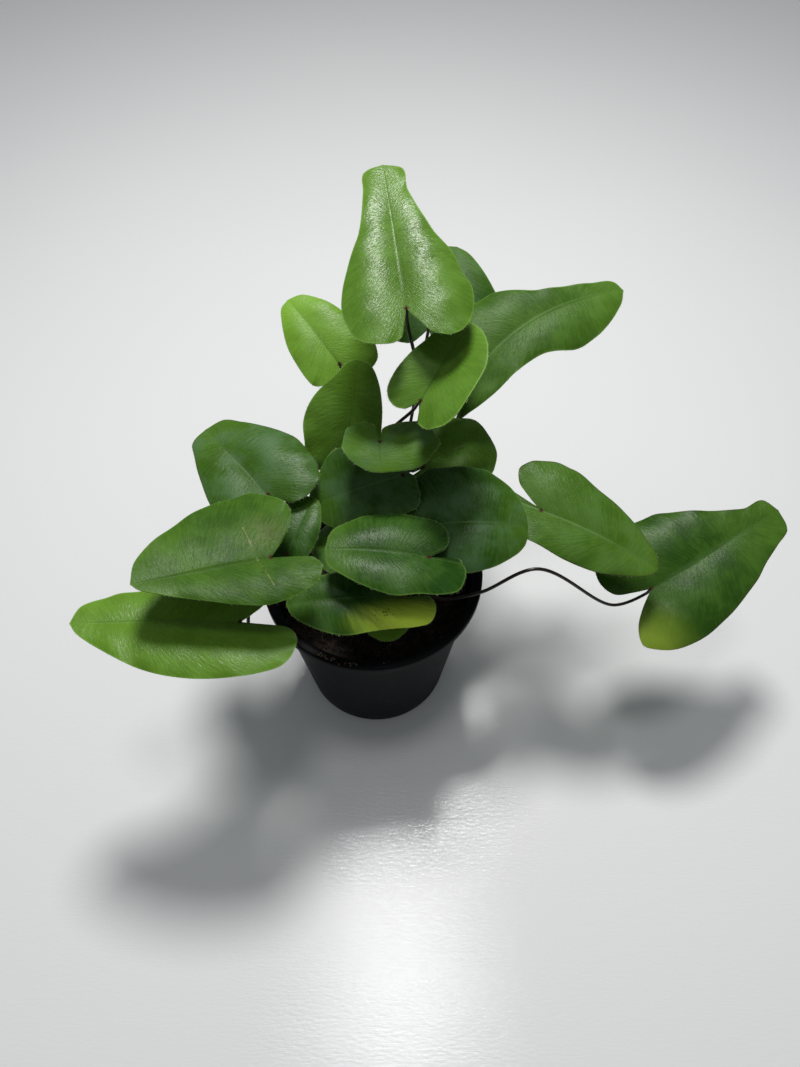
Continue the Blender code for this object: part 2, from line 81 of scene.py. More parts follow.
class Wire:
    """One output of a node tree. Sums and products of wires add Math nodes to the tree."""

    def __init__(self, tree, socket=None):
        self.tree = tree
        self.socket = socket

    def node(self, kind, sockets=None, settings=None, output=0):
        """Adds a node, with a value or a wire for each socket named, and with its settings."""
        made = self.tree.nodes.new(kind)
        for name, value in (settings or {}).items():
            setattr(made, name, value)
        for name, value in (sockets or {}).items():
            if isinstance(value, Wire):
                self.tree.links.new(value.socket, made.inputs[name])
            else:
                made.inputs[name].default_value = value
        return Wire(self.tree, made.outputs[output])

    def math(self, operation, *values):
        return self.node("ShaderNodeMath", dict(enumerate(values)), {"operation": operation})

    def __add__(self, other):
        return self.math("ADD", self, other)

    __radd__ = __add__

    def __sub__(self, other):
        return self.math("SUBTRACT", self, other)

    def __rsub__(self, other):
        return self.math("SUBTRACT", other, self)

    def __mul__(self, other):
        return self.math("MULTIPLY", self, other)

    __rmul__ = __mul__

    def __truediv__(self, other):
        return self.math("DIVIDE", self, other)

    def __abs__(self):
        return self.math("ABSOLUTE", self)

    def axis(self, number):
        return self.node("ShaderNodeSeparateXYZ", {0: self}, output=number)

    def rise(self, low, high):
        """0 below low, 1 above high and smooth between them. It falls where low is above high."""
        if low > high:
            return 1 - self.rise(high, low)
        return self.node("ShaderNodeMapRange", {0: self, 1: low, 2: high, 3: 0.0, 4: 1.0},
                         {"interpolation_type": "SMOOTHSTEP"})

    def blend(self, *colours):
        """The first colour where this wire is 0, and the second where it is 1."""
        first, second = (end if isinstance(end, Wire) else (*end, 1.0) for end in colours)
        return self.node("ShaderNodeMix", {0: self, 6: first, 7: second}, {"data_type": "RGBA"}, 2)

    def stretched(self, scale):
        """This vector times a scale for each axis."""
        return self.node("ShaderNodeMapping", {"Vector": self, "Scale": scale})

    def noise(self, scale, detail=2.0, roughness=0.5):
        return self.node("ShaderNodeTexNoise", {
            "Vector": self, "Scale": scale, "Detail": detail, "Roughness": roughness})

    def cells(self, scale):
        return self.node("ShaderNodeTexVoronoi", {"Vector": self, "Scale": scale})

    def bump(self, depth, strength=1.0):
        """A surface normal from a height of 0 to 1 that stands for this depth in millimetres."""
        return self.node("ShaderNodeBump", {
            "Height": self, "Distance": depth * MM, "Strength": strength})


def new_finish(name):
    """A material, its Principled shader and a wire that holds the place on the piece."""
    made = bpy.data.materials.new(name)
    made.use_nodes = True
    place = Wire(made.node_tree).node("ShaderNodeTexCoord", output="Object")
    return made, made.node_tree.nodes["Principled BSDF"], place


def feed(shader, **sockets):
    """Sets constants and links wires on a shader's sockets."""
    for name, value in sockets.items():
        socket = shader.inputs[name.replace("_", " ").title().replace("Ior", "IOR")]
        if isinstance(value, Wire):
            value.tree.links.new(value.socket, socket)
        else:
            socket.default_value = value


def add_object(name, data):
    made = bpy.data.objects.new(name, data)
    bpy.context.scene.collection.objects.link(made)
    return made


def smooth(mesh, below):
    """Shades a mesh smooth, but for edges that turn by more degrees than this."""
    mesh.shade_smooth()
    mesh.set_sharp_from_angle(angle=math.radians(below))


def new_piece(name, points, faces, finish, smooth_below=None):
    """A mesh piece from points in millimetres."""
    mesh = bpy.data.meshes.new(name)
    mesh.from_pydata((np.asarray(points, float) * MM).tolist(), [], faces)
    mesh.update()
    mesh.materials.append(finish)
    if smooth_below:
        smooth(mesh, smooth_below)
    return add_object(name, mesh)


def store_vectors(piece, name, vectors):
    layer = piece.data.attributes.new(name, "FLOAT_VECTOR", "POINT")
    layer.data.foreach_set("vector", np.asarray(vectors, np.float32).ravel())


def from_bmesh(name, form):
    mesh = bpy.data.meshes.new(name)
    form.to_mesh(mesh)
    form.free()
    return add_object(name, mesh)


def apply_modifiers(piece):
    """The piece keeps the mesh that its modifiers make, without them."""
    graph = bpy.context.evaluated_depsgraph_get()
    made = bpy.data.meshes.new_from_object(piece.evaluated_get(graph))
    piece.modifiers.clear()
    piece.data = made


def settle(piece, slot, *nodes):
    """The piece rides on the plant's one body and stands for the named solids."""
    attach(piece, "root")
    if nodes:
        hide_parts(*nodes)


def full_turn(steps):
    return np.linspace(0, 2 * math.pi, steps, endpoint=False)


def round_places(radius, turn, height, middle=(0, 0)):
    """Points at radii and angles round an upright axis."""
    return np.stack([middle[0] + radius * np.cos(turn), middle[1] + radius * np.sin(turn),
                     height + 0 * turn], 1)


def ring_faces(rings, sides):
    """Faces that join neighbouring rings of points, with this many points in each."""
    here = np.arange(sides)
    after = (here + 1) % sides
    band = np.stack([here, after, after + sides, here + sides], 1)
    return [face for ring in range(rings - 1) for face in (band + ring * sides).tolist()]


def closed_form(rings, bottom, top):
    """Points and faces of stacked rings, closed by one point below and one above."""
    sides = len(rings[0])
    count = len(rings) * sides
    here = np.arange(sides)
    after = (here + 1) % sides
    below = np.stack([after, here, 0 * here + count], 1)
    above = np.stack([here - sides, after - sides, 0 * here + 1], 1) + count
    faces = below.tolist() + ring_faces(len(rings), sides) + above.tolist()
    return np.vstack([*rings, [bottom, top]]), faces


def wall_radius(height):
    """Outer radius of the tapered wall at a height above the foot's rounding."""
    share = (height - FOOT_ROUNDING) / (POT_HEIGHT - LIP_HEIGHT - FOOT_ROUNDING)
    return FOOT_RADIUS + (WALL_TOP_RADIUS - FOOT_RADIUS) * share


def black_plastic():
    made, shader, place = new_finish("black_plastic")
    clouds = place.noise(38.0, 4.0, 0.6)
    grain = place.noise(2600.0, 2.0)
    specks = place.cells(420.0).rise(0.16, 0.05) * place.noise(90.0).rise(0.5, 0.68)
    streaks = place.stretched((900.0, 900.0, 25.0)).noise(1.0, 3.0)
    # Paler in cloudy dust patches and streaks, and paler towards the bottom over its lowest 30 mm.
    paler = clouds.rise(0.42, 0.75) * 0.35 + streaks.rise(0.5, 0.8) * 0.12
    low = place.axis(2).rise(0.03, 0.0) * 0.25
    body = (paler + low).blend(PLASTIC_BLACK, PLASTIC_PALE)
    feed(shader, base_color=specks.blend(body, DUST_SPECK),
         roughness=0.46 + clouds * 0.16 + specks * 0.3, specular_ior_level=0.09,
         normal=(grain * 0.7 + clouds * 0.3).bump(0.05, 0.5))
    return made


def pot_profile():
    """Radius and height along the pot's section, from the middle of its underside to its floor."""
    lip_foot = POT_HEIGHT - LIP_HEIGHT
    inner, outer = DRAIN_RING
    ring_top = DRAIN_RING_RISE + WALL
    lip_radius, lip_top = RIM_RADIUS - LIP_ROUNDING, POT_HEIGHT - LIP_ROUNDING
    return [
        (0, 0), (BASE_DISC_RADIUS, 0), (BASE_DISC_RADIUS + 0.5, 0.3), (inner, DRAIN_RING_RISE),
        (outer, DRAIN_RING_RISE), (outer + 1.1, 0.25), (outer + 1.5, 0),
        (FOOT_RADIUS - FOOT_ROUNDING, 0), (FOOT_RADIUS - 0.85, 0.2), (FOOT_RADIUS - 0.3, 0.7),
        *((wall_radius(h), h) for h in np.linspace(FOOT_ROUNDING, lip_foot, 9)),
        (WALL_TOP_RADIUS + 0.3, lip_foot + 0.15), (lip_radius, lip_foot + LIP_STEP),
        (RIM_RADIUS - 0.2, lip_foot + 0.3), (RIM_RADIUS, lip_foot + LIP_ROUNDING),
        *((lip_radius + LIP_ROUNDING * math.sin(a), lip_top + LIP_ROUNDING * math.cos(a))
          for a in np.linspace(math.pi / 2, 0, 5)),
        (WALL_TOP_RADIUS + 0.9, POT_HEIGHT), (WALL_TOP_RADIUS + 0.1, POT_HEIGHT - 0.3),
        (WALL_TOP_RADIUS - WALL + 0.4, POT_HEIGHT - 1.0), (WALL_TOP_RADIUS - WALL, lip_foot + 1),
        *((wall_radius(h) - WALL, h) for h in np.linspace(lip_foot - 1, ring_top, 10)),
        (inner - BASE_STEP, ring_top), (BASE_DISC_RADIUS - BASE_STEP, WALL), (0, WALL),
    ]


def make_pot():
    turns = full_turn(POT_STEPS)
    step = 2 * math.pi / FOOT_NOTCHES
    past_notch = (turns - math.radians(FIRST_NOTCH_DEGREES) + step / 2) % step - step / 2
    slope = (FOOT_NOTCH_HALF_WIDTH - FOOT_RADIUS * np.abs(past_notch)) / FOOT_NOTCH_SLOPE
    notch = FOOT_NOTCH_HEIGHT * np.clip(slope, 0, 1)
    ribs = POT_RIB_DEPTH * np.abs(np.sin(turns * POT_RIBS / 2))
    bottom, *section, top = pot_profile()
    rings = []
    for radius, height in section:
        inside = 10 < height < POT_HEIGHT - 1.5 and radius < wall_radius(height) - 0.5
        foot = height < FOOT_NOTCH_HEIGHT and radius > DRAIN_RING[1] + 0.5
        rings.append(round_places(radius - ribs if inside else radius, turns,
                                  np.maximum(height, notch) if foot else height))
    points, faces = closed_form(rings, (0, *bottom), (0, *top))
    pot = new_piece("nursery_pot", points, faces, black_plastic())
    cutters = bmesh.new()
    for hole in range(DRAIN_HOLES):
        turn = 2 * math.pi * (hole + 0.5) / DRAIN_HOLES
        middle = Vector((math.cos(turn), math.sin(turn), 0)) * (sum(DRAIN_RING) / 2 * MM)
        made = bmesh.ops.create_cone(cutters, cap_ends=True, segments=32, depth=0.02,
                                     radius1=DRAIN_HOLE_RADIUS * MM,
                                     radius2=DRAIN_HOLE_RADIUS * MM)
        bmesh.ops.translate(cutters, verts=made["verts"], vec=middle)
    cutter = from_bmesh("drain_cutter", cutters)
    drains = pot.modifiers.new("drains", "BOOLEAN")
    drains.operation = "DIFFERENCE"
    drains.object = cutter
    apply_modifiers(pot)
    bpy.data.objects.remove(cutter)
    smooth(pot.data, 35)
    return pot


settle(make_pot(), "pot", "pot")

# Blades
# Twenty heart shaped leaf blades, each a thin leathery sheet with a sunk midrib and a fine net
# of veins that fans out from the stalk. The margin is thinner. On some blades it is purple-brown,
# its own colour; on the others it is lighter, partly its own tone and partly painted light shining
# through it.

BLADE_HALF_THICKNESS = 0.25
MARGIN_HALF_THICKNESS = 0.11
MARGIN_TAPER = 2.5  # width of the thin and wavy strip along the margin
BLADE_COLUMN = 0.5  # spacing of the mesh along the margin
BLADE_ROW = 0.8  # and from the midrib out
MARGIN_SAMPLES = 200  # points that measure a margin's length
TURN_WEIGHT = 0.8  # weight of a curve's turning beside its length, where its points are spread
FOLD_FADE = 0.7  # how much flatter a blade is at its tip than at its sinus
REACH_STATIONS = (0.08, 0.3, 0.55, 0.8, 0.95)  # shares of the way from sinus to tip
MIDRIB_ROUNDING = 0.9
MIDRIB_DEPTH = 0.16
MIDRIB_WIDTH = 0.55
VEIN_RELIEF = 0.02
VEIN_PERIOD = 1.7
WAVE_RELIEF = 0.1
WAVE_PERIOD = 14
WAVE_RISE = 8  # how far from the midrib the waves are at their full height
EDGE_WAVE_RELIEF = 0.3
EDGE_WAVE_PERIOD = 12
EDGE_WAVE_RISE = (12, 7)  # and the margin's waves, from the tip and from the midrib
SLOPE_STEP = 0.02  # how far to each side of a point the bent sheet's slope is taken
HALVES_APART = 5  # shift that gives the right half veins of its own


@dataclass
class Frond:
    """One frond. A half is left or right of the midrib as seen from above, tip ahead."""

    name: str
    sinus: tuple  # the bottom of the notch, where the stipe meets the blade
    tip: tuple
    face: tuple  # the way the upper side looks
    left: tuple  # reach of the left half from the midrib at each of REACH_STATIONS
    right: tuple
    lobes: tuple  # how far the left and right lobe reach back past the sinus
    bow: float  # rise of the midrib above the straight line from sinus to tip
    folds: tuple  # degrees by which each half rises from the midrib
    curls: tuple  # degrees by which each half bends from the midrib to its margin
    socket: tuple  # its place on the rhizome: millimetres from the middle, and degrees
    via: tuple = ()  # points that the stipe passes on its way up
    notch: tuple = (0.2, 0.2)  # opening of the notch on each side, as a share of the reach
    sweep: float = 0  # sideways bend of the midrib, to the left where positive

    @property
    def length(self):
        return math.dist(self.sinus, self.tip)


FRONDS = (
    Frond("frond_01", (13, 37, 180), (5, 91.5, 197.4), (0, -0.3, 1),
          (21.5, 17.6, 11.4, 8.4, 7), (23.5, 19, 11.6, 7, 6.6), (12.5, 12),
          1, (24, 24), (-54, -54), (5.5, 85),
          ((6, 26, 101), (5, 40, 113), (17, 44, 127), (18.5, 39, 143)), notch=(0.14, 0.3)),
    Frond("frond_02", (22, 69, 144), (33.5, 101.5, 157.5), (0, -0.3, 1),
          (21, 19, 15, 9.4, 4.7), (27.5, 27.5, 22, 12.6, 5.4), (8, 8),
          2, (16, 16), (-36, -36), (9, 66)),
    Frond("frond_03", (-11.5, 49, 144.5), (-31.2, 71.9, 155.4), (0, -0.4, 1),
          (13.4, 13, 11.3, 7.4, 4), (16.4, 15, 13.1, 9.2, 5.2), (3.5, 8),
          2, (18, 18), (-38, -38), (9, 100)),
    Frond("frond_04", (41, 44, 150), (94, 71.5, 160), (0, -0.3, 1),
          (20, 18.5, 8.6, 5.2, 4), (12, 13.3, 18, 13.9, 6.2), (10, 20),
          3, (18, 18), (-40, -40), (9, 42), ((33, 47, 114),), notch=(0.2, 0.4), sweep=5),
    Frond("frond_05", (18, 17, 158), (35, 42, 170), (-0.3, -0.3, 1),
          (12.6, 12, 10, 7.6, 3.8), (19, 18, 16.2, 11.4, 5.7), (5.8, 8.5),
          1, (30, 30), (-10, -10), (3.5, 0), ((11, 17, 104), (12, 25, 121), (19, 27, 141)),
          notch=(0.26, 0.2)),
    Frond("frond_06", (-9.7, 26.8, 120.5), (-4.2, 47, 149), (0, -0.8, 0.6),
          (16, 17.2, 14.6, 7.8, 3.8), (13, 12.5, 11.4, 8.6, 5), (8, 8),
          1, (25, 25), (-20, -20), (9, 125)),
    Frond("frond_07", (12, 13.5, 123), (-23, 7, 112), (0, -0.5, 1),
          (14, 16.5, 16, 11, 5), (7, 12.5, 17, 10.5, 4.5), (4, 6),
          3, (10, 12), (-35, -15), (3.5, 160), ((9, 11, 108),), notch=(0.05, 0.1)),
    Frond("frond_08", (11, -9.5, 100), (-22, -1.8, 99), (0, -0.1, 1),
          (11, 12, 12.4, 9.5, 5.5), (16.5, 16.5, 16.5, 14.5, 9), (5, 8),
          3, (18, 18), (-42, -42), (5.5, -30), ((13, -3, 92),)),
    Frond("frond_09", (4, 13, 142), (5, 1.5, 139), (0, 0, 1),
          (19.5, 20.6, 18.2, 15.2, 11), (13.4, 12.6, 10.8, 7.6, 4), (8, 10.5),
          1.5, (12, 12), (-10, -30), (3, 80), ((8, 17, 104), (9, 23, 121)),
          notch=(0.08, 0.1)),
    Frond("frond_10", (20, 25, 113.5), (46.5, 38.5, 115.6), (0, -0.2, 1),
          (18.5, 17.5, 15.5, 12.5, 10), (17.5, 19, 18, 13.5, 7.5), (5, 8.8),
          3, (22, 22), (-45, -45), (6.3, 30), notch=(0.04, 0.04)),
    Frond("frond_11", (24, -3, 115), (58, -3, 113), (0, -0.3, 1),
          (23.6, 23.4, 22.6, 16.2, 7.8), (18.2, 19, 17.2, 12.6, 7.4), (10.5, 12),
          4, (20, 20), (-48, -48), (6.3, -6), ((23, 0, 101),)),
    Frond("frond_12", (64, 7, 110), (109, -10, 95), (0, -0.2, 1),
          (22.4, 19, 14.8, 9, 4.4), (14, 15, 13.6, 8.6, 3.8), (13, 15),
          3, (22, 22), (-45, -45), (9, 10), notch=(0.3, -0.2)),
    Frond("frond_13", (111, -8, 78), (163.8, 20.4, 92.2), (0, -0.2, 1),
          (27, 25.4, 16.4, 7.6, 6.8), (27.2, 25.2, 19.8, 12.4, 8.6), (15, 15.4),
          3, (24, 24), (-50, -50), (9, -30),
          ((27, -14, 80), (42, -15, 87), (62, -12, 99), (97, -12, 72)), notch=(0.2, 0.36)),
    Frond("frond_14", (-36.8, 4.6, 122.8), (-62.7, 33.8, 125.4), (0, -0.2, 1),
          (19.5, 18, 14.7, 10.6, 7.1), (22.5, 23.3, 19, 12.1, 8.1), (9.1, 9.7),
          2, (24, 24), (-48, -48), (9, 165), ((-32, 4, 90), (-40, 8, 103))),
    Frond("frond_15", (-31.8, -26.8, 129.2), (-74.6, -40.5, 134.7), (0, -0.1, 1),
          (17.8, 15.1, 10.7, 6.1, 2.7), (29, 27.8, 23, 15, 7.7), (15.3, 10.4),
          -0.5, (28, 5), (-48, -24), (5.5, -150), ((-36, -16, 98), (-37, -19, 110)),
          notch=(0.2, 0.35)),
    Frond("frond_16", (-29.3, -14.9, 113), (-20.5, 6.8, 118), (0, -0.1, 1),
          (7.5, 9.5, 11, 10.5, 7.5), (7.4, 8.2, 7.4, 5, 2.6), (5, 5),
          2, (18, 18), (-48, -48), (9, -178)),
    Frond("frond_17", (-43.7, -40.5, 110), (-99.4, -44.2, 115.6), (0, 0, 1),
          (21.6, 21, 17.5, 10, 4), (18.2, 16.6, 13.6, 10.3, 6.3), (19.3, 9.9),
          0.5, (26, 18), (-48, -40), (9, -130), ((-28, -15, 87), (-42.5, -26.5, 100)),
          notch=(0.12, 0.35)),
    Frond("frond_18", (21, -20, 119), (-15, -18.6, 122), (0, -0.05, 1),
          (15.6, 16.8, 14.6, 10.4, 6.4), (15.6, 16.6, 15.4, 12, 7.4), (13, 6.5),
          2, (26, 26), (-48, -48), (5.5, -60), ((28, -18, 92), (28.5, -23, 103)),
          notch=(-0.08, 0.25)),
    Frond("frond_19", (12, -27.7, 105), (-28.9, -32.5, 108), (0, -0.2, 1),
          (11.9, 12.6, 13.3, 9.3, 4.6), (10.9, 11.4, 10.5, 8.6, 4.3), (11.7, 7.6),
          3, (20, 20), (-45, -45), (9, -72), notch=(-0.05, 0.2)),
    Frond("frond_20", (5.8, -22, 80), (7, -33, 81), (0, -0.2, 1),
          (10, 9.4, 8.2, 5.6, 2.8), (10, 9.4, 8.2, 5.6, 2.8), (5, 5),
          1, (14, 14), (-38, -38), (9, -100)),
)


def smooth_curve(corners, steps):
    """Points along a Catmull-Rom curve that passes each corner, closer where it turns."""
    corners = np.array(corners, float)
    ends = np.vstack([2 * corners[0] - corners[1], corners, 2 * corners[-1] - corners[-2]])
    fine = []
    for before, start, stop, after in zip(ends, ends[1:], ends[2:], ends[3:]):
        pairs = ((before, start), (start, stop), (stop, after))
        knots = np.cumsum([0] + [np.linalg.norm(b - a) ** 0.5 for a, b in pairs])
        here = np.linspace(knots[1], knots[2], 24, endpoint=False)[:, None]

        def between(a, b, low, high):
            return a + (b - a) * (here - low) / (high - low)

        first = between(before, start, knots[0], knots[1])
        second = between(start, stop, knots[1], knots[2])
        third = between(stop, after, knots[2], knots[3])
        left = between(first, second, knots[0], knots[2])
        right = between(second, third, knots[1], knots[3])
        fine.append(between(left, right, knots[1], knots[2]))
    fine = np.vstack([*fine, corners[-1:]])
    legs = np.diff(fine, axis=0)
    lengths = np.linalg.norm(legs, axis=1)
    aims = legs / lengths[:, None]
    turns = np.arccos(np.clip((aims[1:] * aims[:-1]).sum(axis=1), -1, 1))
    effort = lengths / lengths.sum()
    effort[1:] += TURN_WEIGHT * turns / turns.sum()
    run = np.concatenate([[0], np.cumsum(effort)])
    wanted = np.linspace(0, run[-1], steps + 1)
    return np.stack([np.interp(wanted, run, fine[:, axis]) for axis in range(fine.shape[1])], 1)


def half_outline(frond, half, columns):
    """One half's margin on the flat blade, from the sinus round the lobe to the tip."""
    reaches = (frond.left, frond.right)[half]
    width = reaches[0]
    lobe = frond.lobes[half]
    notch = frond.notch[half]
    corners = [
        (0, 0),
        (-0.45 * lobe, 0.5 * notch * width),
        (-0.85 * lobe, 1.1 * notch * width),
        (-lobe, (0.27 + notch) * width),
        (-0.8 * lobe, 0.78 * width),
        (-0.3 * lobe, 0.95 * width),
    ]
    corners += [(share * frond.length, reach) for share, reach in zip(REACH_STATIONS, reaches)]
    corners.append((frond.length, 0))
    return smooth_curve(corners, columns)


def blade_axes(frond):
    """Unit vectors ahead to the tip, to the left half and out of the upper side."""
    ahead = (Vector(frond.tip) - Vector(frond.sinus)).normalized()
    face = Vector(frond.face)
    above = (face - face.dot(ahead) * ahead).normalized()
    return ahead, above.cross(ahead), above


def place_on_blade(frond, x, y):
    """Points of the bent blade for arrays of the flat one: x ahead, y to the left."""
    length = frond.length
    forward = np.maximum(x / length, 0)
    arch = 4 * x / length * (1 - forward)
    slope = 4 * (1 - 2 * forward) / length
    right = y < 0
    start = np.radians(np.where(right, frond.folds[1], frond.folds[0])) * (1 - FOLD_FADE * forward)
    bend = np.radians(np.where(right, frond.curls[1] / max(frond.right),
                               frond.curls[0] / max(frond.left)))
    away = np.hypot(y, MIDRIB_ROUNDING) - MIDRIB_ROUNDING
    end = start + bend * away
    across = (np.sin(end) - np.sin(start)) / bend
    lift = (np.cos(start) - np.cos(end)) / bend
    across = np.copysign(across + np.abs(y) - away, y)
    climb, swing = np.arctan(frond.bow * slope), np.arctan(frond.sweep * slope)
    ahead, left, above = (np.array(axis) for axis in blade_axes(frond))
    shares = (x - lift * np.sin(climb) - across * np.sin(swing),
              frond.sweep * arch + across * np.cos(swing),
              frond.bow * arch + lift * np.cos(climb))
    return np.array(frond.sinus) + sum(
        share[..., None] * axis for share, axis in zip(shares, (ahead, left, above)))


def ripples(seed, across, along, waves, period, stretch):
    """Crossing waves of about one period, longer along the veins, mostly from -1 to 1."""
    draw = np.random.default_rng(seed)
    total = 0
    for _ in range(waves):
        pace = 2 * math.pi / (period * draw.uniform(0.7, 1.5))
        lean = draw.uniform(-1, 1) / stretch
        total = total + np.sin(pace * (across + lean * along) + draw.uniform(0, 2 * math.pi))
    return total / waves ** 0.5


def blade_grid(frond):
    """The flat blade's points, their places across and along the veins, and in from the rim."""
    length = frond.length
    outlines = [half_outline(frond, half, MARGIN_SAMPLES) for half in (0, 1)]
    margin = max(np.linalg.norm(np.diff(line, axis=0), axis=1).sum() for line in outlines)
    columns = round(margin / BLADE_COLUMN)
    rows = round(max(*frond.left, *frond.right) / BLADE_ROW)
    steps = np.linspace(0, 1, rows + 1)
    parts = 1 - (1 - steps) ** 1.7
    inner = length * np.linspace(0, 1, columns + 1) ** 1.5
    sheets = []
    for half, side in ((0, 1), (1, -1)):
        outline = half_outline(frond, half, columns)
        x = inner[:, None] + (outline[:, :1] - inner[:, None]) * parts
        y = side * outline[:, 1:] * parts
        span = np.hypot(outline[:, 0] - inner, outline[:, 1])[:, None]
        sheets.append((x, y, span * parts, span * (1 - parts)))
    x, y, along, rim = (np.hstack([left[:, ::-1], right[:, 1:]]) for left, right in zip(*sheets))
    across = np.linspace(0, margin, columns + 1)[:, None] + 0 * x
    across = np.where(y < 0, -across - HALVES_APART, across)
    return x, y, across, along, rim


def sheet_faces(numbers):
    """Faces of a thin closed sheet, and the points of its margin. The upper side's points have
    these numbers, and the lower side's come after them in the same order."""
    near, far = numbers[:-1, :-1], numbers[1:, :-1]
    near_right, far_right = numbers[:-1, 1:], numbers[1:, 1:]
    upper = np.concatenate([np.stack(corners, -1).reshape(-1, 3) for corners in (
        (near, near_right, far_right), (near, far_right, far))])
    first, second, third = upper.T
    upper = upper[(first != second) & (second != third) & (first != third)]
    count = numbers.size
    margin = np.concatenate([numbers[:, 0], numbers[-2:0:-1, -1]])
    after = np.roll(margin, -1)
    return np.concatenate([upper, upper[:, ::-1] + count,
                           np.stack([margin, margin + count, after + count], 1),
                           np.stack([margin, after + count, after], 1)]), margin


def make_blade(frond, finish, seed):
    """The blade, with its flat and vein coordinates, and its margin's places and aims."""
    x, y, across, along, rim = blade_grid(frond)
    middle = place_on_blade(frond, x, y)
    ahead, aside = (place_on_blade(frond, x + on, y + up) - place_on_blade(frond, x - on, y - up)
                    for on, up in ((SLOPE_STEP, 0), (0, SLOPE_STEP)))
    outward = np.cross(ahead, aside)
    outward /= np.linalg.norm(outward, axis=2)[..., None]
    edge = np.clip(rim / MARGIN_TAPER, 0, 1)
    length = frond.length
    groove = np.exp(-(y / MIDRIB_WIDTH) ** 2)
    depth = MIDRIB_DEPTH * groove * np.clip(1 - x / length, 0, 1) ** 0.5
    relief = VEIN_RELIEF * ripples(seed, across, along, 16, VEIN_PERIOD, 1.6) * edge * (1 - groove)
    relief += (WAVE_RELIEF * ripples(seed + 50, x, y, 5, WAVE_PERIOD, 1)
               * np.clip(np.abs(y) / WAVE_RISE, 0, 1))
    from_tip, from_rib = EDGE_WAVE_RISE
    calm = np.clip((length - x) / from_tip, 0, 1) * np.clip(np.abs(y) / from_rib, 0, 1)
    relief += (EDGE_WAVE_RELIEF * ripples(seed + 90, across, along, 4, EDGE_WAVE_PERIOD, 9) * calm
               * np.exp(-rim / MARGIN_TAPER))
    half = MARGIN_HALF_THICKNESS + (BLADE_HALF_THICKNESS - MARGIN_HALF_THICKNESS) * edge ** 0.4
    upper = middle + outward * (half + relief - depth)[..., None]
    lower = middle - outward * (half - relief + 2 * depth)[..., None]
    numbers = np.arange(x.size).reshape(x.shape)
    numbers[[0, -1]] = numbers[[0, -1], x.shape[1] // 2][:, None]
    faces, margin = sheet_faces(numbers)
    used, faces = np.unique(faces, return_inverse=True)
    points = np.concatenate([upper.reshape(-1, 3), lower.reshape(-1, 3)])[used]
    blade = new_piece(frond.name + "_leaf", points, faces.reshape(-1, 3).tolist(), finish, 70)
    flat = np.stack([x / length, y, 1 + 0 * x], -1).reshape(-1, 3)
    vein = np.stack([across, along, rim], -1).reshape(-1, 3)
    store_vectors(blade, "flat", np.concatenate([flat, flat * (1, 1, 0)])[used])
    store_vectors(blade, "vein", np.concatenate([vein, vein])[used])
    inner = np.concatenate([numbers[:, 1], numbers[-2:0:-1, -2]])
    edge_points = middle.reshape(-1, 3)[margin]
    edge_aims = edge_points - middle.reshape(-1, 3)[inner]
    lengths = np.maximum(np.linalg.norm(edge_aims, axis=1), 1e-6)
    return blade, (edge_points, edge_aims / lengths[:, None])


@dataclass
class Look:
    """How one blade's upper side differs from the others. Patches are given in millimetres on
    the flat blade as (ahead of the sinus, to the left, reach ahead, reach to the left)."""

    age_and_painted_light: float  # 0 is the deep green of an old blade, 1 the yellow-green of a young one; it also paints in light and shade
    shine: float  # 0 is a dull blade and 1 a glossy one
    bloom_and_sheen: float = 0.2  # how far a greyish and duller film covers it, partly waxy bloom and partly a painted sheen
    rib: float = 0.2  # lighter midrib where positive, darker where negative
    rim: float = 0.4  # lighter margin where positive, partly its own tone and partly painted light shining through it; purple-brown where negative
    fresh: float = 0.15  # how much younger the tip looks
    yellow: tuple = ()  # a yellowing patch, painted brighter than its own yellow to stand in for light, with its strength as a fifth number
    brown: tuple = ()  # a patch with brown veins
    specks: tuple = ()  # a patch with small red-brown spots
    scar: tuple = ()  # places (ahead, left) along a pale healed tear


# Each age is also set to paint in light and shade: raised on blades that lie in shade, such as
# frond_06, frond_10, frond_17 and frond_20, and lowered on frond_19, whose left part lies in
# shade.
LOOKS = (  # in the order of FRONDS
    Look(0.42, 0.85, 0.1, 0.05, 0.5, 0.22),
    Look(0.08, 0.1, 0.35, 0.1, 0.2),
    Look(0.74, 0.42, 0.1, -0.3, 0.5, 0.7),
    Look(0.18, 0.15, 0.08, 0.3, 0.3),
    Look(0.42, 0.1, 0.1, -0.4, 0.6),
    Look(0.5, 0.1, 0.15, -0.2, 0.5),
    Look(0.08, 0.15, 0.45, 0.2, 0.3, 0.15),
    Look(0.15, 0.3, 0.3, 0.2, 0.3),
    Look(0.36, 0.15, 0.45, 0.0, 0.3),
    Look(0.36, 0.1, 0.1, 0.1, 0.5),
    Look(0.05, 0.3, 0.45, 0.2, 0.3),
    Look(0.27, 0.6, 0.2, 0.4, -0.5),
    Look(0.07, 0.38, 0.04, -0.4, -0.4, yellow=(-16, -20, 18, 18, 0.26)),
    Look(0.16, 0.5, 0.5, -0.3, -0.2),
    Look(0.14, 0.22, 0.0, 0.05, 0.2, brown=(0, -10, 8, 8), specks=(4, 3, 3, 6),
         scar=((6.7, -13.6), (4.5, -0.2), (1.5, 11.8))),
    Look(0.05, 0.5, 0.2, 0.1, 0.2),
    Look(0.56, 0.6, 0.05, 0.1, 0.6),
    Look(0.02, 0.45, 0.05, 0.1, 0.3),
    Look(0.0, 0.12, 0.15, 0.1, 0.4, yellow=(-4, 9, 22, 8, 1.0), specks=(7, 7, 6, 3)),
    Look(0.75, 0.25, 0.15, 0.1, 0.4),
)

DEEP_GREEN = (0.012, 0.050, 0.005)
YOUNG_GREEN = (0.19, 0.38, 0.034)
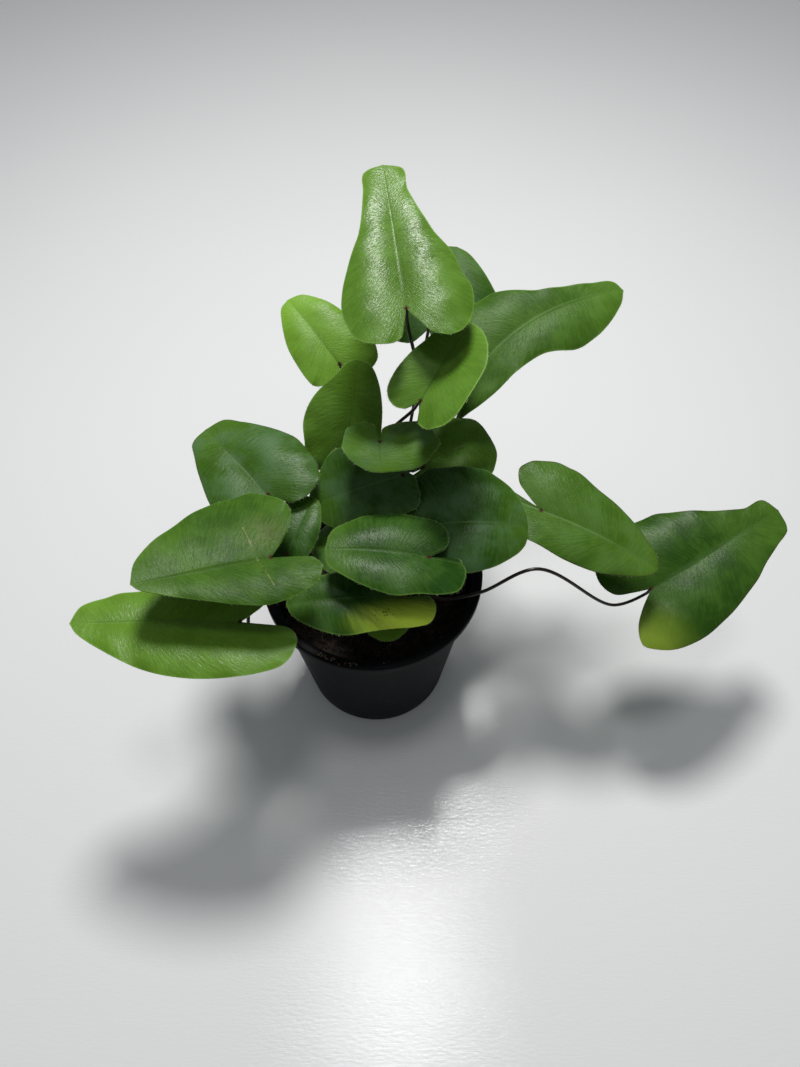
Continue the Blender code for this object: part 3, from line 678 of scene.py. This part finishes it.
# grey-green of the film: partly waxy bloom, partly a painted sheen
BLOOM_SHEEN_GREEN = (0.075, 0.14, 0.095)
PALE_GREEN = (0.17, 0.30, 0.10)
# the yellowing, brighter than its own colour to paint in light where the patch lies in shade
YELLOW = (0.62, 0.82, 0.08)
VEIN_BROWN = (0.105, 0.085, 0.010)
SPOT_BROWN = (0.055, 0.016, 0.008)
SCAR_YELLOW = (0.30, 0.30, 0.11)
RIM_PURPLE = (0.05, 0.022, 0.02)
SINUS_BROWN = (0.05, 0.016, 0.01)


def mixed(first, second, share):
    """A colour between two, worked out here and not by nodes."""
    return tuple(a + (b - a) * share for a, b in zip(first, second))


def within(patch, ahead, left, ragged):
    """1 inside an oval patch, falling softly to 0 outside it."""
    middle_ahead, middle_left, reach_ahead, reach_left = patch[:4]
    offset = ahead.node("ShaderNodeCombineXYZ", {
        0: (ahead - middle_ahead) / reach_ahead, 1: (left - middle_left) / reach_left})
    away = offset.node("ShaderNodeVectorMath", {0: offset}, {"operation": "LENGTH"}, 1)
    return (away + ragged).rise(1.35, 0.05)


def beside(start, end, ahead, left):
    """Distance from the straight line between two places."""
    run, rise = end[0] - start[0], end[1] - start[1]
    along = ((ahead - start[0]) * run + (left - start[1]) * rise) / (run * run + rise * rise)
    along = along.node("ShaderNodeClamp", {0: along})
    off_ahead, off_left = ahead - start[0] - along * run, left - start[1] - along * rise
    squares = off_ahead * off_ahead + off_left * off_left
    return squares.math("SQRT", squares)


def patched(green, look, ahead, left, veins, place):
    """The green with a blade's own yellow, brown, spotted and healed patches."""
    if look.yellow:
        soft = within(look.yellow, ahead, left, veins * 0.5 - 0.25)
        green = (soft * look.yellow[4]).blend(green, YELLOW)
    if look.brown:
        soft = within(look.brown, ahead, left, veins * 0.6 - 0.3) * veins.rise(0.42, 0.62)
        green = (soft * 0.6).blend(green, VEIN_BROWN)
    for start, end in zip(look.scar, look.scar[1:]):
        wander = place.noise(420.0, 3.0) * 1.6
        line = (beside(start, end, ahead, left) + wander).rise(1.1, 0.7)
        green = (line * 0.42).blend(green, SCAR_YELLOW)
    if look.specks:
        spots = place.cells(700.0).rise(0.34, 0.2) * place.noise(330.0).rise(0.46, 0.56)
        spots = spots * within(look.specks, ahead, left, veins * 0.2)
        green = spots.blend(green, SPOT_BROWN)
    return green


def blade_finish(frond, look):
    made, shader, place = new_finish(frond.name + "_green")
    flat, vein = (place.node("ShaderNodeAttribute", settings={"attribute_name": name},
                             output="Vector") for name in ("flat", "vein"))
    share, left, side = (flat.axis(number) for number in range(3))
    ahead = share * frond.length
    rim, from_rib = vein.axis(2), abs(left)
    patches = place.noise(95.0, 3.0, 0.55)
    streaks = vein.stretched((0.9, 0.12, 0.0)).noise(1.0, 3.0, 0.6)
    crinkle = vein.stretched((1.0, 0.34, 0.0)).noise(1.25, 2.0, 0.5)
    ridges = 1 - abs(crinkle * 5 - 2.5)
    grain = place.noise(2300.0, 2.0, 0.6)
    # The green from the blade's age, which also carries painted light and shade.
    base = mixed(DEEP_GREEN, YOUNG_GREEN, look.age_and_painted_light)
    darker = mixed(base, (0.0, 0.02, 0.0), 0.24)
    lighter = mixed(base, YOUNG_GREEN, 0.12)
    green = (0.6 * patches + 0.4 * streaks).rise(0.36, 0.66).blend(darker, lighter)
    green = (share.rise(0.45, 1.0) * look.fresh).blend(green, YOUNG_GREEN)
    # A greyish, duller film over patches: partly waxy bloom, partly a painted sheen.
    bloom_and_sheen = patches.rise(0.36, 0.7) * look.bloom_and_sheen
    green = bloom_and_sheen.blend(green, mixed(base, BLOOM_SHEEN_GREEN, 0.8))
    rib_line = (from_rib / MIDRIB_WIDTH).rise(1.2, 0.1) * share.rise(1.0, 0.1) * abs(look.rib)
    green = rib_line.blend(green, PALE_GREEN if look.rib > 0 else DEEP_GREEN)
    # A lighter margin is partly painted light shining through it; a purple-brown one is its own
    # colour.
    rim_tone = mixed(YOUNG_GREEN, PALE_GREEN, 0.4) if look.rim > 0 else RIM_PURPLE
    green = (rim.rise(0.75, 0.1) * abs(look.rim)).blend(green, rim_tone)
    sinus_spot = (from_rib + abs(ahead)).rise(1.5, 0.5)
    green = sinus_spot.blend(green, SINUS_BROWN)
    green = patched(green, look, ahead, left, streaks, place)
    under = (streaks * 0.7).blend(mixed(base, PALE_GREEN, 0.55), mixed(base, PALE_GREEN, 0.2))
    height = ridges * 0.4 + crinkle * 0.5 + grain * 0.1
    feed(shader, base_color=side.blend(under, green),
         roughness=0.36 - 0.16 * look.shine + bloom_and_sheen * 0.2 + grain * 0.05 + (1 - side) * 0.2,
         normal=height.bump(0.085 + 0.03 * look.shine, 1.0), ior=1.35,
         specular_ior_level=0.14 + 0.2 * look.shine ** 1.5,
         subsurface_weight=0.1, subsurface_radius=(0.5, 1.0, 0.2), subsurface_scale=0.0006)
    return made


edges = []
for number, (frond, look) in enumerate(zip(FRONDS, LOOKS)):
    leaf, edge = make_blade(frond, blade_finish(frond, look), number)
    settle(leaf, "blade", frond.name + "_blade")
    edges.append(edge)

# Stipes
# The stalks: wiry, nearly black and glossy, with a fine grain. Each grows from the rhizome and
# joins the underside of its blade at the bottom of the notch.

STIPE_RADIUS = 0.75
STIPE_TOP_SHARE = 0.8
STIPE_SIDES = 14
STIPE_RINGS = 72
STIPE_UPRIGHT = 4  # straight stretch at each end of a route with via points
STIPE_END = 0.45  # how far under the blade's middle it ends
STIPE_SWELLING = 0.16  # thicker end below the blade, as a share of the radius
STIPE_BLACK = (0.006, 0.002, 0.002)
STIPE_BROWN = (0.028, 0.008, 0.005)
CROWN = (4.0, 2.0)
CROWN_TOP = 74.0
SOCKET_FLOOR = 67.0


def stipe_route(frond):
    """Upright from the rhizome, then past its via points or in one sweep to below the sinus."""
    reach, turn = frond.socket[0], math.radians(frond.socket[1])
    x, y = CROWN[0] + reach * math.cos(turn), CROWN[1] + reach * math.sin(turn)
    ahead, _, above = blade_axes(frond)
    arrive = (above + 0.6 * ahead).normalized()
    end = Vector(frond.sinus) - above * STIPE_END
    low = Vector((x, y, CROWN_TOP))
    foot = Vector((x, y, SOCKET_FLOOR))
    if frond.via:
        middle = [Vector(point) for point in frond.via]
        start = foot + Vector((0, 0, STIPE_UPRIGHT))
        return smooth_curve([foot, start, low, *middle, end - arrive * STIPE_UPRIGHT, end],
                            STIPE_RINGS)
    reach = (end - low).length
    first = low + Vector((0, 0, 0.35 * reach))
    second = end - arrive * 0.3 * reach
    t = np.linspace(0, 1, STIPE_RINGS)[:, None]
    low, first, second, end = (np.array(point) for point in (low, first, second, end))
    sweep = ((1 - t) ** 3 * low + 3 * (1 - t) ** 2 * t * first + 3 * (1 - t) * t * t * second
             + t ** 3 * end)
    return np.vstack([np.array(foot), sweep])


def tube(route, radii, sides):
    """Points, closed faces and outward unit vectors of a round tube along a route."""
    aims = np.gradient(route, axis=0)
    aims /= np.linalg.norm(aims, axis=1)[:, None]
    aside = np.cross(aims[0], (0.31, 0.95, 0.05))
    rounds = []
    for aim in aims:
        aside = aside - aside.dot(aim) * aim
        aside /= np.linalg.norm(aside)
        turns = full_turn(sides)[:, None]
        rounds.append(np.cos(turns) * aside + np.sin(turns) * np.cross(aim, aside))
    outward = np.array(rounds)
    points = (route[:, None] + outward * np.asarray(radii)[:, None, None]).reshape(-1, 3)
    start = range(sides)
    end = range((len(route) - 1) * sides, len(route) * sides)
    faces = ring_faces(len(route), sides) + [list(start)[::-1], list(end)]
    return points, faces, outward.reshape(-1, 3)


def stipe_finish():
    made, shader, place = new_finish("stipe_dark")
    blotches = place.noise(160.0, 3.0, 0.6)
    fine = place.noise(3800.0, 2.0)
    body = blotches.rise(0.4, 0.7).blend(STIPE_BLACK, STIPE_BROWN)
    feed(shader, base_color=body, roughness=0.26 + blotches * 0.12,
         normal=(fine * 0.6 + blotches * 0.4).bump(0.03, 0.7), specular_ior_level=0.5)
    return made


stipe_dark = stipe_finish()
stalks = []
for frond in FRONDS:
    route = stipe_route(frond)
    share = np.linspace(0, 1, len(route))
    radii = STIPE_RADIUS * (1 - (1 - STIPE_TOP_SHARE) * share)
    radii *= 1 + STIPE_SWELLING * np.exp(-((1 - share) / 0.03) ** 2)
    points, faces, outward = tube(route, radii, STIPE_SIDES)
    stalk = new_piece(frond.name + "_stalk", points, faces, stipe_dark, 60)
    settle(stalk, "stipe", frond.name + "_stipe")
    stalks.append((points, outward))

# Soil
# Dark peat, filled in loosely to about 10 mm below the lip: a lumpy mass with a pocket that
# holds the rhizome, loose crumbs on top and on the lip, and pale root fibres.

SOIL_LEVEL = 69.0
SOIL_MOUND = 1.6
SOIL_MOUND_SPREAD = 30
SOIL_LUMPS = 0.7
SOIL_RINGS = 84
SOIL_STEPS = 360
SOIL_GAP = 0.3
SOIL_INSET = 0.9  # how far its bottom keeps inside the pot's stepped floor
POCKET_RADIUS = 12.1
POCKET_FLOOR = 64.2
CRUMBS = 3000
FIBRES = 240
FIBRE_RADIUS = 0.09
LIP_CRUMBS = 26
LIP_CRUMB_DEGREES = (-118, -97)
PEAT_DARK = (0.006, 0.0045, 0.004)
PEAT_BROWN = (0.032, 0.02, 0.013)
PEAT_FLECK = (0.11, 0.07, 0.04)
ROOT_DARK = (0.05, 0.028, 0.015)
ROOT_PALE = (0.22, 0.15, 0.09)


def from_crown(x, y):
    return np.hypot(x - CROWN[0], y - CROWN[1])


def soil_height(x, y):
    """The lumpy top of the soil, a little higher round the rhizome, with its coarse grain."""
    lumps = np.sin(0.42 * x + 1.3) * np.sin(0.37 * y) + 0.6 * np.sin(0.81 * x - 0.7 * y)
    mound = SOIL_MOUND * np.exp(-(from_crown(x, y) / SOIL_MOUND_SPREAD) ** 2)
    height = SOIL_LEVEL + SOIL_LUMPS * lumps + mound
    for seed, period, depth in ((1, 7, 0.3), (2, 3.4, 0.26), (3, 1.7, 0.2)):
        height += depth * ripples(seed, x, y, 5, period, 1) * ripples(seed + 9, y, x, 5, period, 1)
    return height


def soil_top(x, y):
    """The soil's height with its pocket."""
    return np.where(from_crown(x, y) < POCKET_RADIUS, POCKET_FLOOR, soil_height(x, y))


def scatter(name, slot, places, aims, shape, finish, sizes, seed):
    """A settled piece: copies of one small shape at places, its Z along each aim, turned and
    sized at random."""
    tree = bpy.data.node_groups.new(name, "GeometryNodeTree")
    sockets = tree.interface
    sockets.new_socket("Geometry", in_out="INPUT", socket_type="NodeSocketGeometry")
    settings = {"Shape": ("Object", shape), "Smallest": ("Float", sizes[0]),
                "Largest": ("Float", sizes[1]), "Seed": ("Int", seed)}
    wanted = {}
    for label, (kind, value) in settings.items():
        made = sockets.new_socket(label, in_out="INPUT", socket_type="NodeSocket" + kind)
        wanted[made.identifier] = value
    sockets.new_socket("Geometry", in_out="OUTPUT", socket_type="NodeSocketGeometry")
    given = tree.nodes.new("NodeGroupInput")
    guide, copied, smallest, largest, draw = (Wire(tree, socket) for socket in given.outputs[:5])
    random = "FunctionNodeRandomValue"
    size = guide.node(random, {2: smallest, 3: largest, "Seed": draw}, output=1)
    turn = guide.node(random, {2: 0.0, 3: 2 * math.pi, "Seed": draw + 1}, output=1)
    aim = guide.node("GeometryNodeInputNamedAttribute", {"Name": "aim"},
                     {"data_type": "FLOAT_VECTOR"})
    facing = guide.node("FunctionNodeAlignRotationToVector", {"Vector": aim}, {"axis": "Z"})
    spin = guide.node("ShaderNodeCombineXYZ", {2: turn})
    facing = guide.node("FunctionNodeRotateRotation", {"Rotation": facing, "Rotate By": spin},
                        {"rotation_space": "LOCAL"})
    dots = guide.node("GeometryNodeMeshToPoints", {"Mesh": guide})
    body = copied.node("GeometryNodeObjectInfo", {"Object": copied}, output="Geometry")
    copies = dots.node("GeometryNodeInstanceOnPoints", {
        "Points": dots, "Instance": body, "Rotation": facing, "Scale": size})
    solid = copies.node("GeometryNodeRealizeInstances", {"Geometry": copies})
    solid = solid.node("GeometryNodeSetMaterial", {"Geometry": solid, "Material": finish})
    out = tree.nodes.new("NodeGroupOutput")
    tree.links.new(solid.socket, out.inputs[0])
    piece = new_piece(name, places, [], finish)
    store_vectors(piece, "aim", aims)
    modifier = piece.modifiers.new("copies", "NODES")
    modifier.node_group = tree
    for identifier, value in wanted.items():
        modifier[identifier] = value
    apply_modifiers(piece)
    bpy.data.objects.remove(shape)
    settle(piece, slot)


def lump_shape(seed):
    """A small crumb about 1 mm across."""
    shape = bmesh.new()
    bmesh.ops.create_icosphere(shape, subdivisions=1, radius=0.5 * MM)
    draw = np.random.default_rng(seed)
    for corner in shape.verts:
        corner.co *= draw.uniform(0.6, 1.2)
    return from_bmesh("crumb", shape)


def soil_finish():
    made, shader, place = new_finish("peat")
    coarse = place.noise(260.0, 4.0, 0.65)
    grains = place.cells(1500.0)
    flecks = place.cells(620.0).rise(0.2, 0.08) * place.noise(150.0).rise(0.5, 0.64)
    body = coarse.rise(0.36, 0.68).blend(PEAT_DARK, PEAT_BROWN)
    feed(shader, base_color=flecks.blend(body, PEAT_FLECK),
         roughness=0.82 + coarse * 0.15,
         normal=(coarse * 0.6 + grains * 0.4).bump(0.5, 1.0), specular_ior_level=0.25)
    return made


def make_soil(finish, edge):
    ring_top = DRAIN_RING_RISE + WALL + SOIL_GAP
    turns = full_turn(SOIL_STEPS)
    rings = [round_places(radius, turns, height) for radius, height in (
        (BASE_DISC_RADIUS - SOIL_INSET, WALL + SOIL_GAP), (DRAIN_RING[0] - SOIL_INSET, ring_top),
        (wall_radius(ring_top) - WALL - SOIL_GAP, ring_top))]
    for radius in np.linspace(edge, 0, SOIL_RINGS, endpoint=False):
        ring = round_places(radius, turns, 0)
        ring[:, 2] = soil_top(ring[:, 0], ring[:, 1])
        rings.append(ring)
    points, faces = closed_form(rings, (0, 0, WALL + SOIL_GAP), (0, 0, POCKET_FLOOR))
    return new_piece("peat_mass", points, faces, finish, 80)


peat = soil_finish()
soil_edge = wall_radius(SOIL_LEVEL - 2 * SOIL_LUMPS) - WALL - SOIL_GAP
settle(make_soil(peat, soil_edge), "soil", "soil")
draw = np.random.default_rng(11)


def soil_places(count, margin):
    """Random places on the top, outside the pocket."""
    radius = (soil_edge - margin) * np.sqrt(draw.uniform(0, 1, count * 2))
    turn = draw.uniform(0, 2 * math.pi, count * 2)
    x, y = radius * np.cos(turn), radius * np.sin(turn)
    clear = from_crown(x, y) > POCKET_RADIUS + 0.6
    x, y = x[clear][:count], y[clear][:count]
    return np.stack([x, y, soil_height(x, y)], 1)


places = soil_places(CRUMBS, 1.2) + (0, 0, 0.1)
scatter("peat_crumbs", "soil", places, draw.normal(0, 1, places.shape), lump_shape(3), peat,
        (0.3, 1.3), 5)


def fibre_shape(seed):
    """A thin bent root about 6 mm long that lies along its Z."""
    steps = np.linspace(0, 1, 9)
    route = np.stack([0.7 * np.sin(steps * 4), 0.4 * np.sin(steps * 7 + seed), 6 * steps - 3], 1)
    points, faces, _ = tube(route, FIBRE_RADIUS * (1 - 0.6 * steps), 4)
    return new_piece("fibre", points, faces, peat)


def fibre_finish():
    made, shader, place = new_finish("root_fibre")
    tone = place.noise(90.0, 2.0).rise(0.3, 0.7)
    feed(shader, base_color=tone.blend(ROOT_DARK, ROOT_PALE),
         roughness=0.6 + place.noise(900.0) * 0.2)
    return made


places = soil_places(FIBRES, 4.5) + (0, 0, 0.25)
aims = draw.normal(0, 1, places.shape) * (1, 1, 0.12)
fibre_brown = fibre_finish()
scatter("root_fibres", "soil", places, aims, fibre_shape(1), fibre_brown, (0.4, 1.1), 8)

turn = np.radians(draw.uniform(*LIP_CRUMB_DEGREES, LIP_CRUMBS))
on_lip = draw.uniform(RIM_RADIUS - 2.4, RIM_RADIUS - 0.6, LIP_CRUMBS)
places = round_places(on_lip, turn, POT_HEIGHT + 0.2)
scatter("lip_crumbs", "soil", places, draw.normal(0, 1, places.shape), lump_shape(4),
        fibre_brown, (0.4, 1.2), 6)

# Rhizome
# The short upright stem that every stalk grows from: a low dome wrapped in overlapping papery
# brown scales. It stands in the pocket of the soil.

CROWN_RADIUS = 11.6
CROWN_FOOT = 64.5
CROWN_SHOULDER = 70.5
CROWN_STEPS = 72
CROWN_RIPPLE = 0.25
SCALES = 620
SCALE_DARK = (0.022, 0.009, 0.004)
SCALE_BROWN = (0.13, 0.065, 0.025)


def rhizome_finish():
    made, shader, place = new_finish("rhizome_scales")
    tone = place.noise(420.0, 3.0, 0.6)
    feed(shader, base_color=tone.rise(0.3, 0.7).blend(SCALE_DARK, SCALE_BROWN),
         roughness=0.55 + tone * 0.3, normal=tone.bump(0.15, 0.8))
    return made


def make_rhizome(finish):
    turns = full_turn(CROWN_STEPS)
    rise = CROWN_TOP - CROWN_SHOULDER
    section = [(CROWN_RADIUS - 0.8, CROWN_FOOT), (CROWN_RADIUS, CROWN_FOOT + 1)]
    section += [(CROWN_RADIUS * math.cos(a), CROWN_SHOULDER + rise * math.sin(a))
                for a in np.linspace(0, math.pi / 2, 10)[:-1]]
    rings = [round_places(radius - CROWN_RIPPLE + CROWN_RIPPLE * np.sin(9 * turns + height), turns,
                          height, CROWN)
             for radius, height in section]
    points, faces = closed_form(rings, (*CROWN, CROWN_FOOT), (*CROWN, CROWN_TOP))
    return new_piece("rhizome_dome", points, faces, finish, 50)


def scale_shape():
    """A thin pointed scale about 3 mm long that rises along its Z."""
    points = []
    for x, z, half in ((0, 0, 0.35), (0.15, 1.0, 0.55), (0.25, 2.0, 0.4), (0.6, 3.1, 0.05)):
        points += [(x, -half, z), (x + 0.12, 0, z), (x, half, z), (x - 0.06, 0, z)]
    return new_piece("scale", points, [[0, 3, 2, 1], [12, 13, 14, 15], *ring_faces(4, 4)], peat)


scales_brown = rhizome_finish()
settle(make_rhizome(scales_brown), "rhizome", "rhizome")
turn = draw.uniform(0, 2 * math.pi, SCALES)
lean = np.arccos(draw.uniform(0.02, 1, SCALES))
outward = np.stack([np.sin(lean) * np.cos(turn), np.sin(lean) * np.sin(turn), np.cos(lean)], 1)
places = outward * (CROWN_RADIUS - 0.6, CROWN_RADIUS - 0.6, CROWN_TOP - CROWN_SHOULDER)
places = places + (*CROWN, CROWN_SHOULDER)
aims = outward * (0.6, 0.6, 0.9) + draw.normal(0, 0.25, places.shape) + (0, 0, 0.45)
scatter("rhizome_scales", "rhizome", places, aims, scale_shape(), scales_brown, (0.5, 1.0), 21)

# Hairs
# Fine short hairs: pale ones along the margins of the blades, and sparse brown ones on the
# stalks. Each is one thin cone.

MARGIN_HAIRS = 330  # on each blade
STALK_HAIRS = 70
HAIR_RADIUS = 0.035
HAIR_LENGTH = 0.7
PALE_HAIR = ((0.30, 0.36, 0.18), (0.5, 0.5, 0.34))
BROWN_HAIR = ((0.03, 0.012, 0.006), (0.16, 0.08, 0.04))


def hair_shape():
    """A thin leaning cone along its Z."""
    return new_piece("hair", [*round_places(HAIR_RADIUS, full_turn(3), 0), (0.05, 0, HAIR_LENGTH)],
                     [(2, 1, 0), (0, 1, 3), (1, 2, 3), (2, 0, 3)], peat)


def hair_finish(name, first, second):
    made, shader, place = new_finish(name)
    tone = place.noise(500.0, 2.0)
    feed(shader, base_color=tone.blend(first, second), roughness=0.4 + tone * 0.2)
    return made


places, aims = [], []
for points, outward in edges:
    pick = draw.uniform(0, len(points) - 1.001, MARGIN_HAIRS)
    whole = pick.astype(int)
    part = (pick - whole)[:, None]
    places.append(points[whole] * (1 - part) + points[whole + 1] * part)
    aims.append(outward[whole] + draw.normal(0, 0.3, (MARGIN_HAIRS, 3)) - (0, 0, 0.15))
scatter("margin_hairs", "blade", np.vstack(places), np.vstack(aims), hair_shape(),
        hair_finish("pale_hair", *PALE_HAIR), (0.5, 1.1), 31)
places, aims = [], []
for points, outward in stalks:
    pick = draw.integers(STIPE_SIDES * 6, len(points) - STIPE_SIDES * 2, STALK_HAIRS)
    places.append(points[pick] - outward[pick] * 0.05)
    aims.append(outward[pick] + draw.normal(0, 0.35, (STALK_HAIRS, 3)))
scatter("stalk_hairs", "stipe", np.vstack(places), np.vstack(aims), hair_shape(),
        hair_finish("brown_hair", *BROWN_HAIR), (0.5, 1.0), 32)

# Stage
# A plain pale floor with a soft gloss. One lamp stands behind and above the plant, and a weaker
# one overhead. The camera looks down on the plant from the front.

HALF_FLOOR = 3000.0
FLOOR_GREY = (0.74, 0.75, 0.76)
FLOOR_WHITE = (0.79, 0.79, 0.79)
LAMPS = (  # name, place, aim, diameter, watts and tint
    ("key_lamp", (11.0, 286.0, 800.0), (10.0, 0.0, 80.0), 180.0, 5.6, (1.0, 0.99, 0.97)),
    ("overhead_lamp", (11.0, -28.0, 1200.0), (11.0, -28.0, 0.0), 200.0, 1.6, (1.0, 1.0, 1.0)),
)
SKY_TINT = (0.92, 0.96, 1.0)
SKY_STRENGTH = 0.22
LENS = 27.04
CAMERA_PLACE = (11.0, -173.0, 352.0)
CAMERA_PITCH = 55.0


def floor_finish():
    made, shader, place = new_finish("pale_floor")
    strokes = place.stretched((300.0, 1000.0, 1.0)).noise(1.0, 4.0, 0.65)
    brushed = strokes * 0.7 + place.stretched((9.0, 260.0, 1.0)).noise(1.0, 3.0, 0.6) * 0.3
    broad = place.noise(3.0, 2.0)
    feed(shader, base_color=broad.blend(FLOOR_GREY, FLOOR_WHITE),
         roughness=0.08 + broad * 0.03, specular_ior_level=0.52, normal=brushed.bump(0.13, 1.0))
    return made


corners = [(x * HALF_FLOOR, y * HALF_FLOOR, 0) for x, y in ((-1, -1), (1, -1), (1, 1), (-1, 1))]
new_piece("floor", corners, [(0, 1, 2, 3)], floor_finish())


def add_lamp(name, place, aim, size, power, tint):
    light = bpy.data.lights.new(name, "AREA")
    light.shape = "DISK"
    light.size = size * MM
    light.energy = power
    light.color = tint
    lamp = add_object(name, light)
    lamp.location = Vector(place) * MM
    lamp.rotation_euler = (Vector(aim) - Vector(place)).to_track_quat("-Z", "Y").to_euler()


for lamp in LAMPS:
    add_lamp(*lamp)

world = bpy.data.worlds.new("studio")
world.use_nodes = True
sky = world.node_tree.nodes["Background"].inputs
sky["Color"].default_value = (*SKY_TINT, 1.0)
sky["Strength"].default_value = SKY_STRENGTH
bpy.context.scene.world = world
bpy.context.scene.view_settings.view_transform = "Standard"

view = bpy.data.cameras.new("camera")
view.lens = LENS
view.sensor_width = 36.0
view.clip_start = 0.01
camera = add_object("camera", view)
camera.location = Vector(CAMERA_PLACE) * MM
camera.rotation_euler = (math.radians(90.0 - CAMERA_PITCH), 0, 0)
bpy.context.scene.camera = camera

bpy.context.view_layer.update()
